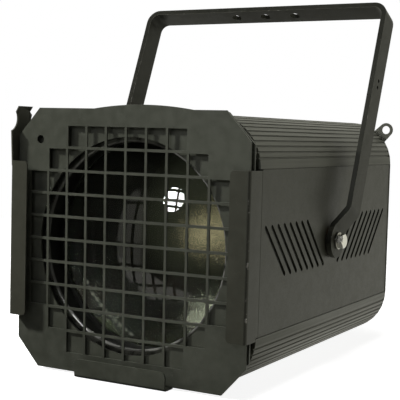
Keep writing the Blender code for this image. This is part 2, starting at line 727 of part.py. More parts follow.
def mesh_holes():
    """Square holes in stepped rows, fewer in the top and bottom rows."""
    half = (MESH_PITCH - MESH_BAR) / 2
    rows = MESH_ROWS + MESH_ROWS[::-1]
    holes = []
    for row, count in enumerate(rows):
        z = MESH_CENTRE[1] + (row - (len(rows) - 1) / 2) * MESH_PITCH
        for column in range(2 * count):
            x = MESH_CENTRE[0] + (column - count + 0.5) * MESH_PITCH
            holes.append(rectangle(x - half, z - half, x + half, z + half))
    return holes


def guard(mat):
    """Punched safety mesh that stands in the channel and leans forward a little."""
    outline = chamfered(GUARD_HALF_WIDTH, GUARD_HALF_HEIGHT, GUARD_CHAMFER)
    radius = (FINGER_HALF_WIDTH**2 + FINGER_RISE**2) / (2 * FINGER_RISE)
    sweep = math.degrees(math.asin(FINGER_HALF_WIDTH / radius))
    centre = (FINGER_CENTRE, GUARD_HALF_HEIGHT + FINGER_RISE - radius)
    bulge = arc(centre, radius, 90 - sweep, 90 + sweep, 8)
    outline = outline[:4] + bulge + outline[4:]
    hole_x = MESH_CENTRE[0] - MESH_ROWS[1] * MESH_PITCH - GUARD_HOLE_OFFSET[0]
    hole_z = MESH_CENTRE[1] + (len(MESH_ROWS) - 1) * MESH_PITCH + GUARD_HOLE_OFFSET[1]
    holes = mesh_holes() + [circle((hole_x, hole_z), GUARD_HOLE_RADIUS, 16)]
    lean = Matrix.Rotation(math.radians(GUARD_LEAN), 4, "X")
    placement = at(z=-GUARD_DROP) @ lean
    standing = placement @ Matrix.Translation((0, SHEET, 0)) @ FACING
    plate = solid("guard", sheet(outline, SHEET, holes), mat, standing)
    carried("guard_slide", placement, [plate])


# Lens and its holder


def lens_holder(dark, bright):
    """Tube behind the front plate, its rim ring, the seat and the retaining ring of the lens."""
    axis = at(z=-LENS_DROP) @ TO_REAR
    flange = TUBE_OUTER + TUBE_FLANGE_WIDTH
    flange_back = TUBE_FRONT + TUBE_WALL
    tube = [(TUBE_INNER, TUBE_FRONT), (flange, TUBE_FRONT), (flange, flange_back),
            (TUBE_OUTER, flange_back), (TUBE_OUTER, TUBE_REAR), (TUBE_INNER, TUBE_REAR)]
    solid("lens_tube", turned(tube), dark, axis)
    rim = ring(LENS_RADIUS - RIM_LEDGE, TUBE_FIT, RIM_FRONT, RIM_FRONT + RIM_DEPTH)
    solid("lens_rim", rim, bright, axis)
    seat_sag = LENS_CURVE - math.sqrt(LENS_CURVE**2 - SEAT_INNER**2)
    seat = LENS_VERTEX + seat_sag - GAP
    solid("lens_seat", ring(SEAT_INNER, TUBE_FIT, seat - RIM_DEPTH, seat), dark, axis)
    front = LENS_BACK + GAP
    inner = LENS_RADIUS - RETAINER_LEDGE
    retainer = [(inner, front), (TUBE_FIT, front), (TUBE_FIT, TUBE_REAR - GAP),
                (TUBE_FIT - TUBE_WALL, TUBE_REAR - GAP), (TUBE_FIT - TUBE_WALL, front + TUBE_WALL),
                (inner, front + TUBE_WALL)]
    solid("lens_retainer", turned(retainer), dark, axis)


def lens(glass):
    """Plano-convex lens, its dome to the front."""
    sweep = math.degrees(math.asin(LENS_RADIUS / LENS_CURVE))
    dome = arc((0, LENS_VERTEX + LENS_CURVE), LENS_CURVE, -90, sweep - 90, 7)
    profile = [(0, LENS_VERTEX), *dome[1:], (LENS_RADIUS, LENS_BACK), (0, LENS_BACK)]
    solid("lens", turned(profile), glass, at(z=-LENS_DROP) @ TO_REAR)


# Rear plate and what it carries


def corner_point(reach):
    """Point out from the upper right corner's centre, along 45 degrees."""
    return CORNER_X + reach * math.sqrt(0.5), CORNER_Z + reach * math.sqrt(0.5)


def rear_plate(mat):
    """Rear plate with the casings' outline and a lower lip that it stands on."""
    right = arc((CORNER_X, -CORNER_Z), CORNER_RADIUS, -90, 0, 8)
    right += arc((CORNER_X, CORNER_Z), CORNER_RADIUS, 0, 90, 8)
    lip = [(-REAR_LIP_HALF_WIDTH, -CASING_HALF_HEIGHT), (-REAR_LIP_HALF_WIDTH, -AXIS_HEIGHT),
           (REAR_LIP_HALF_WIDTH, -AXIS_HEIGHT), (REAR_LIP_HALF_WIDTH, -CASING_HALF_HEIGHT)]
    holes = [circle(place, SCREW_HOLE, 12) for place in port_places()]
    holes += [
        circle(corner_point(EYE_FOOT_REACH), SCREW_HOLE, 12),
        circle((0, LEAD_SCREW_Z), LEAD_HOLE),
        circle((GLAND_X, GLAND_Z), GLAND_RADIUS + GAP),
    ]
    for i in range(REAR_SLOT_COUNT):
        x = (i - (REAR_SLOT_COUNT - 1) / 2) * REAR_SLOT_PITCH
        holes.append(slot((x, REAR_SLOT_BOTTOM), (x, REAR_SLOT_TOP), REAR_SLOT_WIDTH))
    outline = right + mirrored(right)[::-1] + lip
    solid("rear_plate", sheet(outline, REAR_SHEET, holes), mat, at(y=REAR_BACK) @ FACING)


def pan_screw(seat, length=SCREW_LENGTH):
    """Pan head screw whose head sits behind the seat, its shank to the front."""
    head = seat + GAP
    profile = [(0, head - length), (SCREW_RADIUS, head - length), (SCREW_RADIUS, head),
               (SCREW_HEAD_RADIUS, head), (SCREW_HEAD_RADIUS, head + SCREW_HEAD_HEIGHT / 2),
               (SCREW_HEAD_RADIUS / 2, head + SCREW_HEAD_HEIGHT), (0, head + SCREW_HEAD_HEIGHT)]
    return turned(profile, 12)


def rear_fasteners(steel):
    copies("rear_screw", pan_screw(REAR_BACK), steel, [at(x=x, z=z) @ TO_REAR for x, z in port_places()])


def safety_eye(mat, steel):
    """Eye for the safety cable, screwed flush to the rear plate's upper right corner."""
    foot = corner_point(EYE_FOOT_REACH)
    eye = corner_point(EYE_REACH)
    outline = arc(eye, EYE_RADIUS, -50, 140, 10) + arc(foot, EYE_FOOT_RADIUS, 140, 310, 8)
    back = REAR_BACK + GAP + EYE_SHEET
    plate = sheet(outline, EYE_SHEET, [circle(eye, EYE_HOLE_RADIUS)])
    plate = solid("safety_eye", plate, mat, at(y=back) @ FACING)
    head = at(foot[0], back, foot[1]) @ FACING
    shaped(plate, "DIFFERENCE", countersinks(EYE_SHEET, [head]))
    solid("safety_eye_screw", flush_screw(EYE_SHEET), steel, head)
    nut_hole = circle((0, 0), SCREW_HOLE, 12)
    nut = sheet(hexagon(0.7 * HEX_ACROSS), SCREW_RADIUS * 1.6, [nut_hole])
    solid("safety_eye_nut", nut, steel, at(foot[0], REAR_FRONT - GAP, foot[1]) @ FACING)


def cable_gland(dark, rubber):
    """Gland through the rear plate, without its cord."""
    place = at(GLAND_X, 0, GLAND_Z)
    front = REAR_FRONT - GLAND_INSIDE
    back = REAR_BACK + GLAND_OUTSIDE
    seat = REAR_BACK + GAP
    barrel = ring(GLAND_BORE, GLAND_RADIUS, front, back, 16)
    body = solid("gland_body", barrel, dark, place @ TO_REAR)
    middle = circle((0, 0), (GLAND_BORE + GLAND_RADIUS) / 2)
    collar = sheet(hexagon(GLAND_ACROSS), GLAND_HEX_LENGTH, [middle])
    hexed = tool("gland_hex", collar, at(GLAND_X, seat + GLAND_HEX_LENGTH, GLAND_Z) @ FACING)
    shaped(body, "UNION", hexed)
    thread = circle((0, 0), GLAND_RADIUS + GAP)
    locknut = sheet(hexagon(GLAND_ACROSS), LOCKNUT_LENGTH, [thread])
    solid("gland_locknut", locknut, dark, at(GLAND_X, REAR_FRONT - GAP, GLAND_Z) @ FACING)
    start = seat + GLAND_HEX_LENGTH + GAP
    outer = GLAND_RADIUS + GAP + DOME_WALL
    dome = [(GLAND_RADIUS + GAP, start), (outer, start), (outer, start + DOME_LENGTH * 0.7),
            (outer - DOME_WALL, start + DOME_LENGTH), (GLAND_BORE, start + DOME_LENGTH),
            (GLAND_BORE, back + GAP), (GLAND_RADIUS + GAP, back + GAP)]
    solid("gland_dome_nut", turned(dome, 16), dark, place @ TO_REAR)
    seal = ring(SEAL_BORE, GLAND_BORE - GAP, REAR_BACK, back - GAP, 16)
    solid("gland_seal", seal, rubber, place @ TO_REAR)


def light_trap(mat):
    """Hood inside the rear plate, open below, that lets air out of its slots but no light."""
    foot = REAR_FRONT - GAP - SHEET / 2
    plate = REAR_FRONT - TRAP_DEPTH
    top = REAR_SLOT_TOP + TRAP_OVERLAP
    bottom = REAR_SLOT_BOTTOM - TRAP_OVERLAP
    corners = [(foot, top + TRAP_FOOT), (foot, top), (plate, top), (plate, bottom)]
    half = (REAR_SLOT_COUNT - 1) / 2 * REAR_SLOT_PITCH + TRAP_OVERLAP
    hood = sheet(ribbon(rounded_path(corners, BEND_RADIUS), SHEET), 2 * half)
    solid("light_trap", hood, mat, at(x=-half) @ SIDEWAYS)


def terminal_block(ceramic):
    """Ceramic block on the inside of the rear plate, with two holes for each pole."""
    width, height, depth = TERMINAL_SIZE
    holes = []
    for i in range(TERMINAL_POLES):
        x = (i - (TERMINAL_POLES - 1) / 2) * TERMINAL_PITCH
        holes += [circle((x, z), TERMINAL_HOLE, 8) for z in (-height / 4, height / 4)]
    block = sheet(rectangle(-width / 2, -height / 2, width / 2, height / 2), depth, holes)
    solid("terminal_block", block, ceramic, at(TERMINAL_X, REAR_FRONT - GAP, TERMINAL_Z) @ FACING)


def baffle(name, side, mat):
    """Light baffle behind a side panel's slots, held off it by four tabs."""
    outline = rectangle(BAFFLE_FRONT, -BAFFLE_HALF_HEIGHT, BAFFLE_REAR, BAFFLE_HALF_HEIGHT)
    near = BAFFLE_INNER if side > 0 else -BAFFLE_INNER - SHEET
    plate = solid(name, sheet(outline, SHEET), mat, at(x=near) @ SIDEWAYS)
    reach = PANEL_INNER - GAP
    tabs = []
    for y in (BAFFLE_FRONT + SHEET, BAFFLE_REAR - SHEET - BAFFLE_TAB):
        for z in (-BAFFLE_HALF_HEIGHT + SHEET / 4, BAFFLE_HALF_HEIGHT - SHEET * 1.25):
            corners = rectangle(BAFFLE_INNER + SHEET / 2, y, reach, y + BAFFLE_TAB)
            tab = sheet([(side * x, py) for x, py in corners], SHEET)
            tabs.append(moved(tab, Matrix.Translation((0, 0, z))))
    shaped(plate, "UNION", tool("baffle_tabs", group(tabs), LEVEL))


# Focus carriage and its drive


def rods_and_bracket(steel, dark):
    """Two guide rods from the front bracket to the rear plate."""
    floor = FLOOR_INSIDE + GAP + SHEET / 2
    path = [(BRACKET_Y + BRACKET_FOOT, floor), (BRACKET_Y, floor), (BRACKET_Y, BRACKET_EAR_TOP + SHEET)]
    bent = sheet(ribbon(rounded_path(path, BEND_RADIUS), SHEET), 4 * BRACKET_HALF_WIDTH)
    bracket = solid("front_bracket", bent, dark, at(x=-2 * BRACKET_HALF_WIDTH) @ SIDEWAYS)
    waist = BRACKET_EAR_INNER - (BRACKET_EAR_TOP - BRACKET_WAIST) / 2
    right = [(BRACKET_HALF_WIDTH, -AXIS_HEIGHT), (BRACKET_HALF_WIDTH, BRACKET_EAR_TOP),
             (BRACKET_EAR_INNER, BRACKET_EAR_TOP), (waist, BRACKET_WAIST)]
    front = sheet(right + mirrored(right)[::-1], 2 * BRACKET_FOOT + 4 * SHEET)
    trim = tool("bracket_outline", front, at(y=BRACKET_Y + BRACKET_FOOT + 2 * SHEET) @ FACING)
    shaped(bracket, "INTERSECT", trim)
    through = 4 * SHEET
    bores = [moved(rod(ROD_HOLE, -through, through), Matrix.Translation((x, 0, ROD_Z)) @ TO_REAR)
             for x in (ROD_HALF_SPACING, -ROD_HALF_SPACING)]
    middle = Matrix.Translation((0, 0, LEAD_SCREW_Z)) @ TO_REAR
    bores.append(moved(rod(LEAD_HOLE, -through, through), middle))
    shaped(bracket, "DIFFERENCE", tool("bracket_bores", group(bores), at(y=BRACKET_Y)))
    for name, x in (("guide_rod_right", ROD_HALF_SPACING), ("guide_rod_left", -ROD_HALF_SPACING)):
        bar = rod(ROD_RADIUS, BRACKET_Y - SHEET, REAR_FRONT - GAP)
        solid(name, bar, steel, at(x=x, z=ROD_Z) @ TO_REAR)


def focus_drive(steel, plastic, brass):
    """Lead screw, the collar that holds it and the fluted knob behind the rear plate."""
    seat = REAR_BACK + GAP
    bore = KNOB_DEPTH - 2 * SHEET
    axis = at(z=LEAD_SCREW_Z) @ TO_REAR
    screw = solid("lead_screw", rod(LEAD_SCREW_RADIUS, BRACKET_Y - SHEET, seat + bore - GAP), steel, axis)
    collar_end = REAR_FRONT - GAP
    collar = ring(LEAD_HOLE, COLLAR_RADIUS, collar_end - COLLAR_LENGTH, collar_end, 16)
    collar = solid("screw_collar", collar, brass, axis)
    steps = 4 * KNOB_FLUTES
    outline = []
    for i in range(steps):
        angle = 2 * math.pi * i / steps
        radius = KNOB_RADIUS - KNOB_FLUTE_DEPTH * (1 - math.cos(KNOB_FLUTES * angle)) / 2
        outline.append((radius * math.cos(angle), radius * math.sin(angle)))
    knob = solid("focus_knob", sheet(outline, KNOB_DEPTH), plastic,
                 at(y=seat + KNOB_DEPTH, z=LEAD_SCREW_Z) @ FACING)
    hole = tool("knob_bore", rod(LEAD_HOLE, seat - SHEET, seat + bore), axis)
    shaped(knob, "DIFFERENCE", hole)
    carried("focus_axis", at(y=REAR_BACK, z=LEAD_SCREW_Z), [screw, collar, knob])


def carriage(steel):
    """Bent tray with two ears for the rods and an upright for the reflector."""
    path = [(CARRIAGE_REAR, UPRIGHT_TOP + SHEET), (CARRIAGE_REAR, CARRIAGE_FLOOR),
            (-CARRIAGE_FRONT, CARRIAGE_FLOOR), (-CARRIAGE_FRONT, CARRIAGE_EAR_TOP + SHEET)]
    bent = sheet(ribbon(rounded_path(path, BEND_RADIUS), SHEET), 4 * CARRIAGE_HALF_WIDTH)
    tray = solid("carriage", bent, steel, at(-2 * CARRIAGE_HALF_WIDTH, FOCUS_Y) @ SIDEWAYS)
    right = [(CARRIAGE_HALF_WIDTH, -AXIS_HEIGHT), (CARRIAGE_HALF_WIDTH, CARRIAGE_EAR_TOP),
             (UPRIGHT_HALF_WIDTH, CARRIAGE_EAR_TOP), (UPRIGHT_HALF_WIDTH, UPRIGHT_TOP)]
    reach = CARRIAGE_REAR + 2 * SHEET
    front = sheet(right + mirrored(right)[::-1], 2 * reach)
    shaped(tray, "INTERSECT", tool("carriage_outline", front, at(y=FOCUS_Y + reach) @ FACING))
    bores = [moved(rod(GUIDE_TUBE_RADIUS + GAP, -reach, reach), Matrix.Translation((x, 0, ROD_Z)) @ TO_REAR)
             for x in (ROD_HALF_SPACING, -ROD_HALF_SPACING)]
    rivet = Matrix.Translation((0, 0, FILAMENT_Z)) @ TO_REAR
    bores.append(moved(rod(RIVET_RADIUS + GAP, 0, reach, 16), rivet))
    shaped(tray, "DIFFERENCE", tool("carriage_bores", group(bores), at(y=FOCUS_Y)))
    return tray


def guide_tubes(brass):
    """Plain bearing tubes that run on the rods, held in the holes of both ears."""
    front = -CARRIAGE_FRONT - SHEET / 2 - TUBE_STAND_OUT
    rear = CARRIAGE_REAR + SHEET / 2 + TUBE_STAND_OUT
    tubes = []
    for name, x in (("guide_tube_right", ROD_HALF_SPACING), ("guide_tube_left", -ROD_HALF_SPACING)):
        tube = ring(ROD_HOLE, GUIDE_TUBE_RADIUS, front, rear, 16)
        tubes.append(solid(name, tube, brass, at(x, FOCUS_Y, ROD_Z) @ TO_REAR))
    return tubes


def screw_nut(brass):
    """Block under the carriage that runs on the lead screw."""
    top = CARRIAGE_FLOOR - SHEET / 2 - GAP
    bottom = LEAD_SCREW_Z - NUT_BLOCK_DEPTH
    outline = rectangle(-NUT_BLOCK_HALF_WIDTH, bottom, NUT_BLOCK_HALF_WIDTH, top)
    block = sheet(outline, 2 * NUT_BLOCK_HALF_LENGTH, [circle((0, LEAD_SCREW_Z), LEAD_HOLE)])
    return solid("screw_nut", block, brass, at(y=FOCUS_Y + NUT_BLOCK_HALF_LENGTH) @ FACING)


def reflector(mirror):
    """Spherical reflector centred on the filament, with a flat rim and a hole for its rivet."""
    middle = REFLECTOR_RADIUS + REFLECTOR_SHEET / 2
    hole = math.degrees(math.asin((RIVET_RADIUS + GAP) / middle))
    path = arc((0, 0), middle, 90 - hole, 90 - REFLECTOR_SPAN, 5)
    path.append((path[-1][0] + REFLECTOR_RIM, path[-1][1]))
    return solid("reflector", turned(ribbon(path, REFLECTOR_SHEET), 24), mirror,
                 at(y=FOCUS_Y, z=FILAMENT_Z) @ TO_REAR)


def reflector_rivet(steel):
    front = REFLECTOR_RADIUS - 2 * GAP
    back = CARRIAGE_REAR + SHEET / 2 + GAP
    profile = [(0, front - RIVET_HEAD_HEIGHT), (RIVET_HEAD_RADIUS, front - RIVET_HEAD_HEIGHT),
               (RIVET_HEAD_RADIUS, front), (RIVET_RADIUS, front), (RIVET_RADIUS, back),
               (RIVET_HEAD_RADIUS, back), (RIVET_HEAD_RADIUS, back + RIVET_HEAD_HEIGHT),
               (0, back + RIVET_HEAD_HEIGHT)]
    return solid("reflector_rivet", turned(profile, 16), steel, at(y=FOCUS_Y, z=FILAMENT_Z) @ TO_REAR)


def lamp(ceramic, glass):
    """Holder, base with two pins, and envelope, one above the other on the carriage."""
    seat = CARRIAGE_FLOOR + SHEET / 2 + GAP
    pins = [(LAMP_PIN_SPACING / 2, 0), (-LAMP_PIN_SPACING / 2, 0)]
    outline = rectangle(-HOLDER_HALF_WIDTH, -HOLDER_HALF_DEPTH, HOLDER_HALF_WIDTH, HOLDER_HALF_DEPTH)
    sockets = [circle(pin, LAMP_PIN_RADIUS + GAP, 12) for pin in pins]
    holder = solid("lampholder", sheet(outline, HOLDER_TOP - seat, sockets), ceramic, at(0, FOCUS_Y, seat))
    bottom = HOLDER_TOP + GAP
    disc = rod(LAMP_BASE_RADIUS, bottom, bottom + LAMP_BASE_HEIGHT)
    base = solid("lamp_base", disc, ceramic, at(y=FOCUS_Y))
    shafts = [moved(rod(LAMP_PIN_RADIUS, bottom - LAMP_PIN_LENGTH, bottom + LAMP_BASE_HEIGHT / 2, 12),
                    Matrix.Translation((*pin, 0))) for pin in pins]
    shaped(base, "UNION", tool("lamp_pins", group(shafts), at(y=FOCUS_Y)))
    low = bottom + LAMP_BASE_HEIGHT + GAP
    dome = arc((0, ENVELOPE_TOP - ENVELOPE_RADIUS), ENVELOPE_RADIUS, 0, 90, 6)
    bulb = turned([(0, low), (ENVELOPE_RADIUS, low), *dome[:-1], (0, ENVELOPE_TOP)], 16)
    envelope = solid("lamp_envelope", bulb, glass, at(y=FOCUS_Y))
    return [holder, base, envelope]


# Yoke and its pivots


def yoke_path():
    """Centre line (X, reach) from the left pad over the top bar to the right pad."""
    pad = PAD_INNER + STRAP_SHEET / 2
    arm = YOKE_OUTER - STRAP_SHEET / 2
    top = YOKE_REACH - STRAP_SHEET / 2
    joggle = rounded_path([(pad, -PAD_RADIUS - SHEET), (pad, JOGGLE_BOTTOM), (arm, JOGGLE_TOP),
                           (arm, (JOGGLE_TOP + top) / 2)], 3 * STRAP_SHEET / 2)
    corner = arc((arm - YOKE_BEND, top - YOKE_BEND), YOKE_BEND, 0, 90, 8)
    right = joggle[:-1] + corner
    return mirrored(right) + right[::-1]


def yoke(mat):
    """Flat strap bent to a U, its ends joggled in to round pads."""
    pivot = at(y=PIVOT_Y, z=PIVOT_Z)
    frame = pivot @ Matrix.Rotation(math.radians(-YOKE_TILT), 4, "X")
    blank = sheet(ribbon(yoke_path(), STRAP_SHEET), 3 * PAD_RADIUS)
    strap = solid("yoke", blank, mat, frame @ Matrix.Translation((0, 1.5 * PAD_RADIUS, 0)) @ FACING)
    half = STRAP_WIDTH / 2
    neck = math.degrees(math.acos(half / PAD_RADIUS)) - 5
    pad = arc((0, 0), PAD_RADIUS, 180 - neck, 360 + neck, 12)
    shoulder = PAD_RADIUS * 1.25
    outline = [(half, shoulder), (half, 2 * YOKE_REACH), (-half, 2 * YOKE_REACH), (-half, shoulder), *pad]
    side = tool("yoke_outline", sheet(outline, 3 * YOKE_OUTER),
                frame @ Matrix.Translation((-1.5 * YOKE_OUTER, 0, 0)) @ SIDEWAYS)
    shaped(strap, "INTERSECT", side)
    holes = [moved(rod(BOLT_HOLE, -YOKE_OUTER, YOKE_OUTER), TO_RIGHT)]
    for drop in ARM_HOLE_DROPS:
        place = Matrix.Translation((0, 0, YOKE_REACH - drop)) @ TO_RIGHT
        bore = rod(ARM_HOLE_RADIUS, YOKE_OUTER - 2 * STRAP_SHEET, YOKE_OUTER + STRAP_SHEET, 12)
        holes.append(moved(bore, place))
    for i in (-1, 0, 1):
        place = Matrix.Translation((i * BAR_HOLE_PITCH, 0, 0))
        bore = rod(BAR_HOLE_RADIUS, YOKE_REACH - 2 * STRAP_SHEET, YOKE_REACH + STRAP_SHEET)
        holes.append(moved(bore, place))
    shaped(strap, "DIFFERENCE", tool("yoke_holes", group(holes), frame))
    carried("yoke_pivot", pivot, [strap])


def pivot_hardware(name, side, steel, fibre):
    """Friction disc, washers and nut of one pivot."""
    axis = at(y=PIVOT_Y, z=PIVOT_Z) @ (TO_RIGHT if side > 0 else Matrix.Rotation(math.radians(-90), 4, "Y"))
    pad_outer = PAD_INNER + STRAP_SHEET
    disc = ring(BOLT_HOLE, DISC_RADIUS, PANEL_OUTER + GAP, PAD_INNER - GAP, 16)
    solid("friction_disc_" + name, disc, fibre, axis)
    washer = ring(BOLT_HOLE, WASHER_RADIUS, pad_outer + GAP, pad_outer + GAP + SHEET, 16)
    solid("pivot_washer_" + name, washer, steel, axis)
    inside = PANEL_INNER - GAP
    start = inside - NUT_FLANGE - NUT_HEIGHT
    hexagonal = sheet(hexagon(HEX_ACROSS), NUT_HEIGHT + NUT_FLANGE / 2, [circle((0, 0), BOLT_HOLE)])
    nut = solid("pivot_nut_" + name, hexagonal, steel, axis @ Matrix.Translation((0, 0, start)))
    flange = ring((BOLT_HOLE + HEX_ACROSS / 2) / 2, NUT_FLANGE_RADIUS, inside - NUT_FLANGE, inside, 16)
    shaped(nut, "UNION", tool("nut_flange", flange, axis))
    return axis, start, pad_outer + 2 * GAP + SHEET


def pivots(steel, fibre, plastic):
    """Hex bolt on the right, stud and lobed tilt knob on the left."""
    axis, inner, head = pivot_hardware("right", 1, steel, fibre)
    bolt = solid("pivot_bolt", sheet(hexagon(HEX_ACROSS), HEAD_HEIGHT), steel,
                 axis @ Matrix.Translation((0, 0, head)))
    shaped(bolt, "UNION", tool("bolt_shank", rod(BOLT_RADIUS, inner - GAP, head + HEAD_HEIGHT / 2), axis))

    axis, inner, head = pivot_hardware("left", -1, steel, fibre)
    body = head + TILT_HUB_LENGTH
    steps = 6 * TILT_KNOB_LOBES
    outline = []
    for i in range(steps):
        angle = 2 * math.pi * i / steps
        radius = TILT_KNOB_RADIUS + TILT_KNOB_LOBE * math.cos(TILT_KNOB_LOBES * angle)
        outline.append((radius * math.cos(angle), radius * math.sin(angle)))
    lobed = sheet(outline, TILT_KNOB_DEPTH)
    knob = solid("tilt_knob", lobed, plastic, axis @ Matrix.Translation((0, 0, body)))
    bore_end = body + TILT_KNOB_DEPTH / 2
    hub = tool("tilt_hub", rod(TILT_HUB_RADIUS, head, bore_end), axis)
    bore = tool("tilt_bore", rod(BOLT_HOLE, head - SHEET, bore_end - SHEET), axis)
    shaped(knob, "UNION", hub)
    shaped(knob, "DIFFERENCE", bore)
    stud = solid("tilt_stud", rod(BOLT_RADIUS, inner - GAP, bore_end - SHEET - GAP), steel, axis)
    carried("tilt_lock", at(y=PIVOT_Y, z=PIVOT_Z), [knob, stud])


def main():
    for obj in list(bpy.data.objects):
        bpy.data.objects.remove(obj)
    coat = material("black_powder_coat", (0.055, 0.054, 0.044), 0.45)
    anodised = material("black_anodised_casing", (0.07, 0.07, 0.062), 0.4)
    steel = material("steel", (0.62, 0.62, 0.60), 0.3, metallic=1)
    brass = material("brass", (0.70, 0.55, 0.28), 0.35, metallic=1)
    mirror = material("polished_aluminium", (0.85, 0.85, 0.85), 0.1, metallic=1)
    plastic = material("black_plastic", (0.02, 0.02, 0.02), 0.5)
    rubber = material("rubber", (0.015, 0.015, 0.015), 0.8)
    fibre = material("fibre", (0.25, 0.12, 0.06), 0.8)
    ceramic = material("ceramic", (0.85, 0.83, 0.78), 0.35)
    glass = material("glass", (1, 1, 1), 0.02, glass=1)

    casing("top_casing", 1, anodised)
    casing("bottom_casing", -1, anodised)
    side_panel("side_panel_right", 1, coat)
    side_panel("side_panel_left", -1, coat)
    front_plate(coat)
    front_fasteners(steel)
    guard(coat)
    lens_holder(coat, mirror)
    lens(glass)
    rear_plate(coat)
    rear_fasteners(steel)
    safety_eye(coat, steel)
    cable_gland(plastic, rubber)
    light_trap(coat)
    terminal_block(ceramic)
    baffle("baffle_right", 1, coat)
    baffle("baffle_left", -1, coat)
    rods_and_bracket(steel, coat)
    focus_drive(steel, plastic, brass)
    moving = [carriage(steel), *guide_tubes(brass), screw_nut(brass), reflector(mirror)]
    moving += [reflector_rivet(steel), *lamp(ceramic, glass)]
    carried("focus_slide", at(y=FOCUS_Y, z=ROD_Z), moving)
    yoke(coat)
    pivots(steel, fibre, plastic)


main()
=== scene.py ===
"""Looks of a plano-convex stage spotlight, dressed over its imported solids."""
import math

import bmesh
import bpy
from mathutils import Matrix, Vector


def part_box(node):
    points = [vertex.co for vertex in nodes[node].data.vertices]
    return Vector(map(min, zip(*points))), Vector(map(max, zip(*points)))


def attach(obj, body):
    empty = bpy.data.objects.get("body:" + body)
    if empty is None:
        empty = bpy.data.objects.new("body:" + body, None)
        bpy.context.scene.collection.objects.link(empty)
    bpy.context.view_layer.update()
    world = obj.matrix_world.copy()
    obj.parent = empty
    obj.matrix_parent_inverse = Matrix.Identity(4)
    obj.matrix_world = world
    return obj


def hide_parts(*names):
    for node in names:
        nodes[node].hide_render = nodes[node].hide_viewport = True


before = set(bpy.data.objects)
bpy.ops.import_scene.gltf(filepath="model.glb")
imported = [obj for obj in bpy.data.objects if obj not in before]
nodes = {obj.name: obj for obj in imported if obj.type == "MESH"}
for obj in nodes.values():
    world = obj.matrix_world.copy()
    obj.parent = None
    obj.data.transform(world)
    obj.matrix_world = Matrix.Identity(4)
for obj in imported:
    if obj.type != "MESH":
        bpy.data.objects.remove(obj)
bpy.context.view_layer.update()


# Camera. It stands where the photographer stood, to the right of the lens and a little above it,
# with a moderately long lens and a slight roll.
def direction(azimuth, elevation):
    """Unit vector away from the object, from degrees to the right of its front and above it."""
    turn, lift = math.radians(azimuth), math.radians(elevation)
    return Vector((math.sin(turn) * math.cos(lift), -math.cos(turn) * math.cos(lift), math.sin(lift)))


def linked(name, data):
    """New object in the scene."""
    obj = bpy.data.objects.new(name, data)
    bpy.context.collection.objects.link(obj)
    return obj


stand, roll = Vector((0.3794, -0.5872, 0.1717)), math.radians(1.54)
focal_pixels, picture_pixels = 1030.3, 400
back = direction(28.84, 3.68)
level = Vector((0, 0, 1)).cross(back).normalized()
rise = back.cross(level)
across = math.cos(roll) * level + math.sin(roll) * rise
upward = math.cos(roll) * rise - math.sin(roll) * level
camera = linked("camera", bpy.data.cameras.new("camera"))
turned_view = Matrix((across, upward, back)).transposed()
camera.matrix_world = Matrix.LocRotScale(stand, turned_view, Vector((1, 1, 1)))
camera.data.sensor_width = 36
camera.data.lens = camera.data.sensor_width * focal_pixels / picture_pixels
camera.data.clip_start = 0.01
bpy.context.scene.camera = camera
bpy.context.scene.view_settings.view_transform = "Standard"


# Studio. A white table top in a white tent, whose left wall, front and bright back show in the lens
# and in the satin coats; a key lamp that rakes over the front from the left, an oval softbox above.
class Value:
    """Output of a node in a shader or geometry tree, on which arithmetic adds Math nodes."""

    def __init__(self, tree, socket=None):
        self.tree = tree
        self.socket = socket

    def node(self, kind, values=None, out=0, **settings):
        """Any node: its settings first, then the values or links of its sockets."""
        made = self.tree.nodes.new(kind)
        for key, value in settings.items():
            setattr(made, key, value)
        for key, value in (values or {}).items():
            if isinstance(value, Value):
                self.tree.links.new(value.socket, made.inputs[key])
            else:
                made.inputs[key].default_value = value
        return Value(self.tree, made.outputs[out])

    def math(self, operation, other=0.0):
        return self.node("ShaderNodeMath", {0: self, 1: other}, operation=operation)

    def __add__(self, other):
        return self.math("ADD", other)

    def __sub__(self, other):
        return self.math("SUBTRACT", other)

    def __rsub__(self, other):
        return self.node("ShaderNodeMath", {0: other, 1: self}, operation="SUBTRACT")

    def __mul__(self, other):
        return self.math("MULTIPLY", other)

    def __truediv__(self, other):
        return self.math("DIVIDE", other)

    __radd__ = __add__
    __rmul__ = __mul__

    def axis(self, name):
        """The X, Y or Z of a vector."""
        return self.node("ShaderNodeSeparateXYZ", {0: self}, out=name)

    def step(self, low, high):
        """0 below low, 1 above high, smooth between."""
        return self.node("ShaderNodeMapRange", {"Value": self, "From Min": low, "From Max": high},
                         interpolation_type="SMOOTHSTEP")

    def between(self, low, high):
        """Colour or number that runs from low to high with this value as factor."""
        if not isinstance(low, (tuple, Value)):
            return self * (high - low) + low
        low, high = ((*c, 1) if isinstance(c, tuple) else c for c in (low, high))
        return self.node("ShaderNodeMix", {0: self, 6: low, 7: high}, out=2, data_type="RGBA")


def before_glass(tree):
    """1 for rays that haven't passed through glass, 0.15 for those that have."""
    return 1 - tree.node("ShaderNodeLightPath", out="Transmission Depth").step(0.4, 0.6) * 0.85


def here(start):
    return start.node("ShaderNodeTexCoord", out="Object")


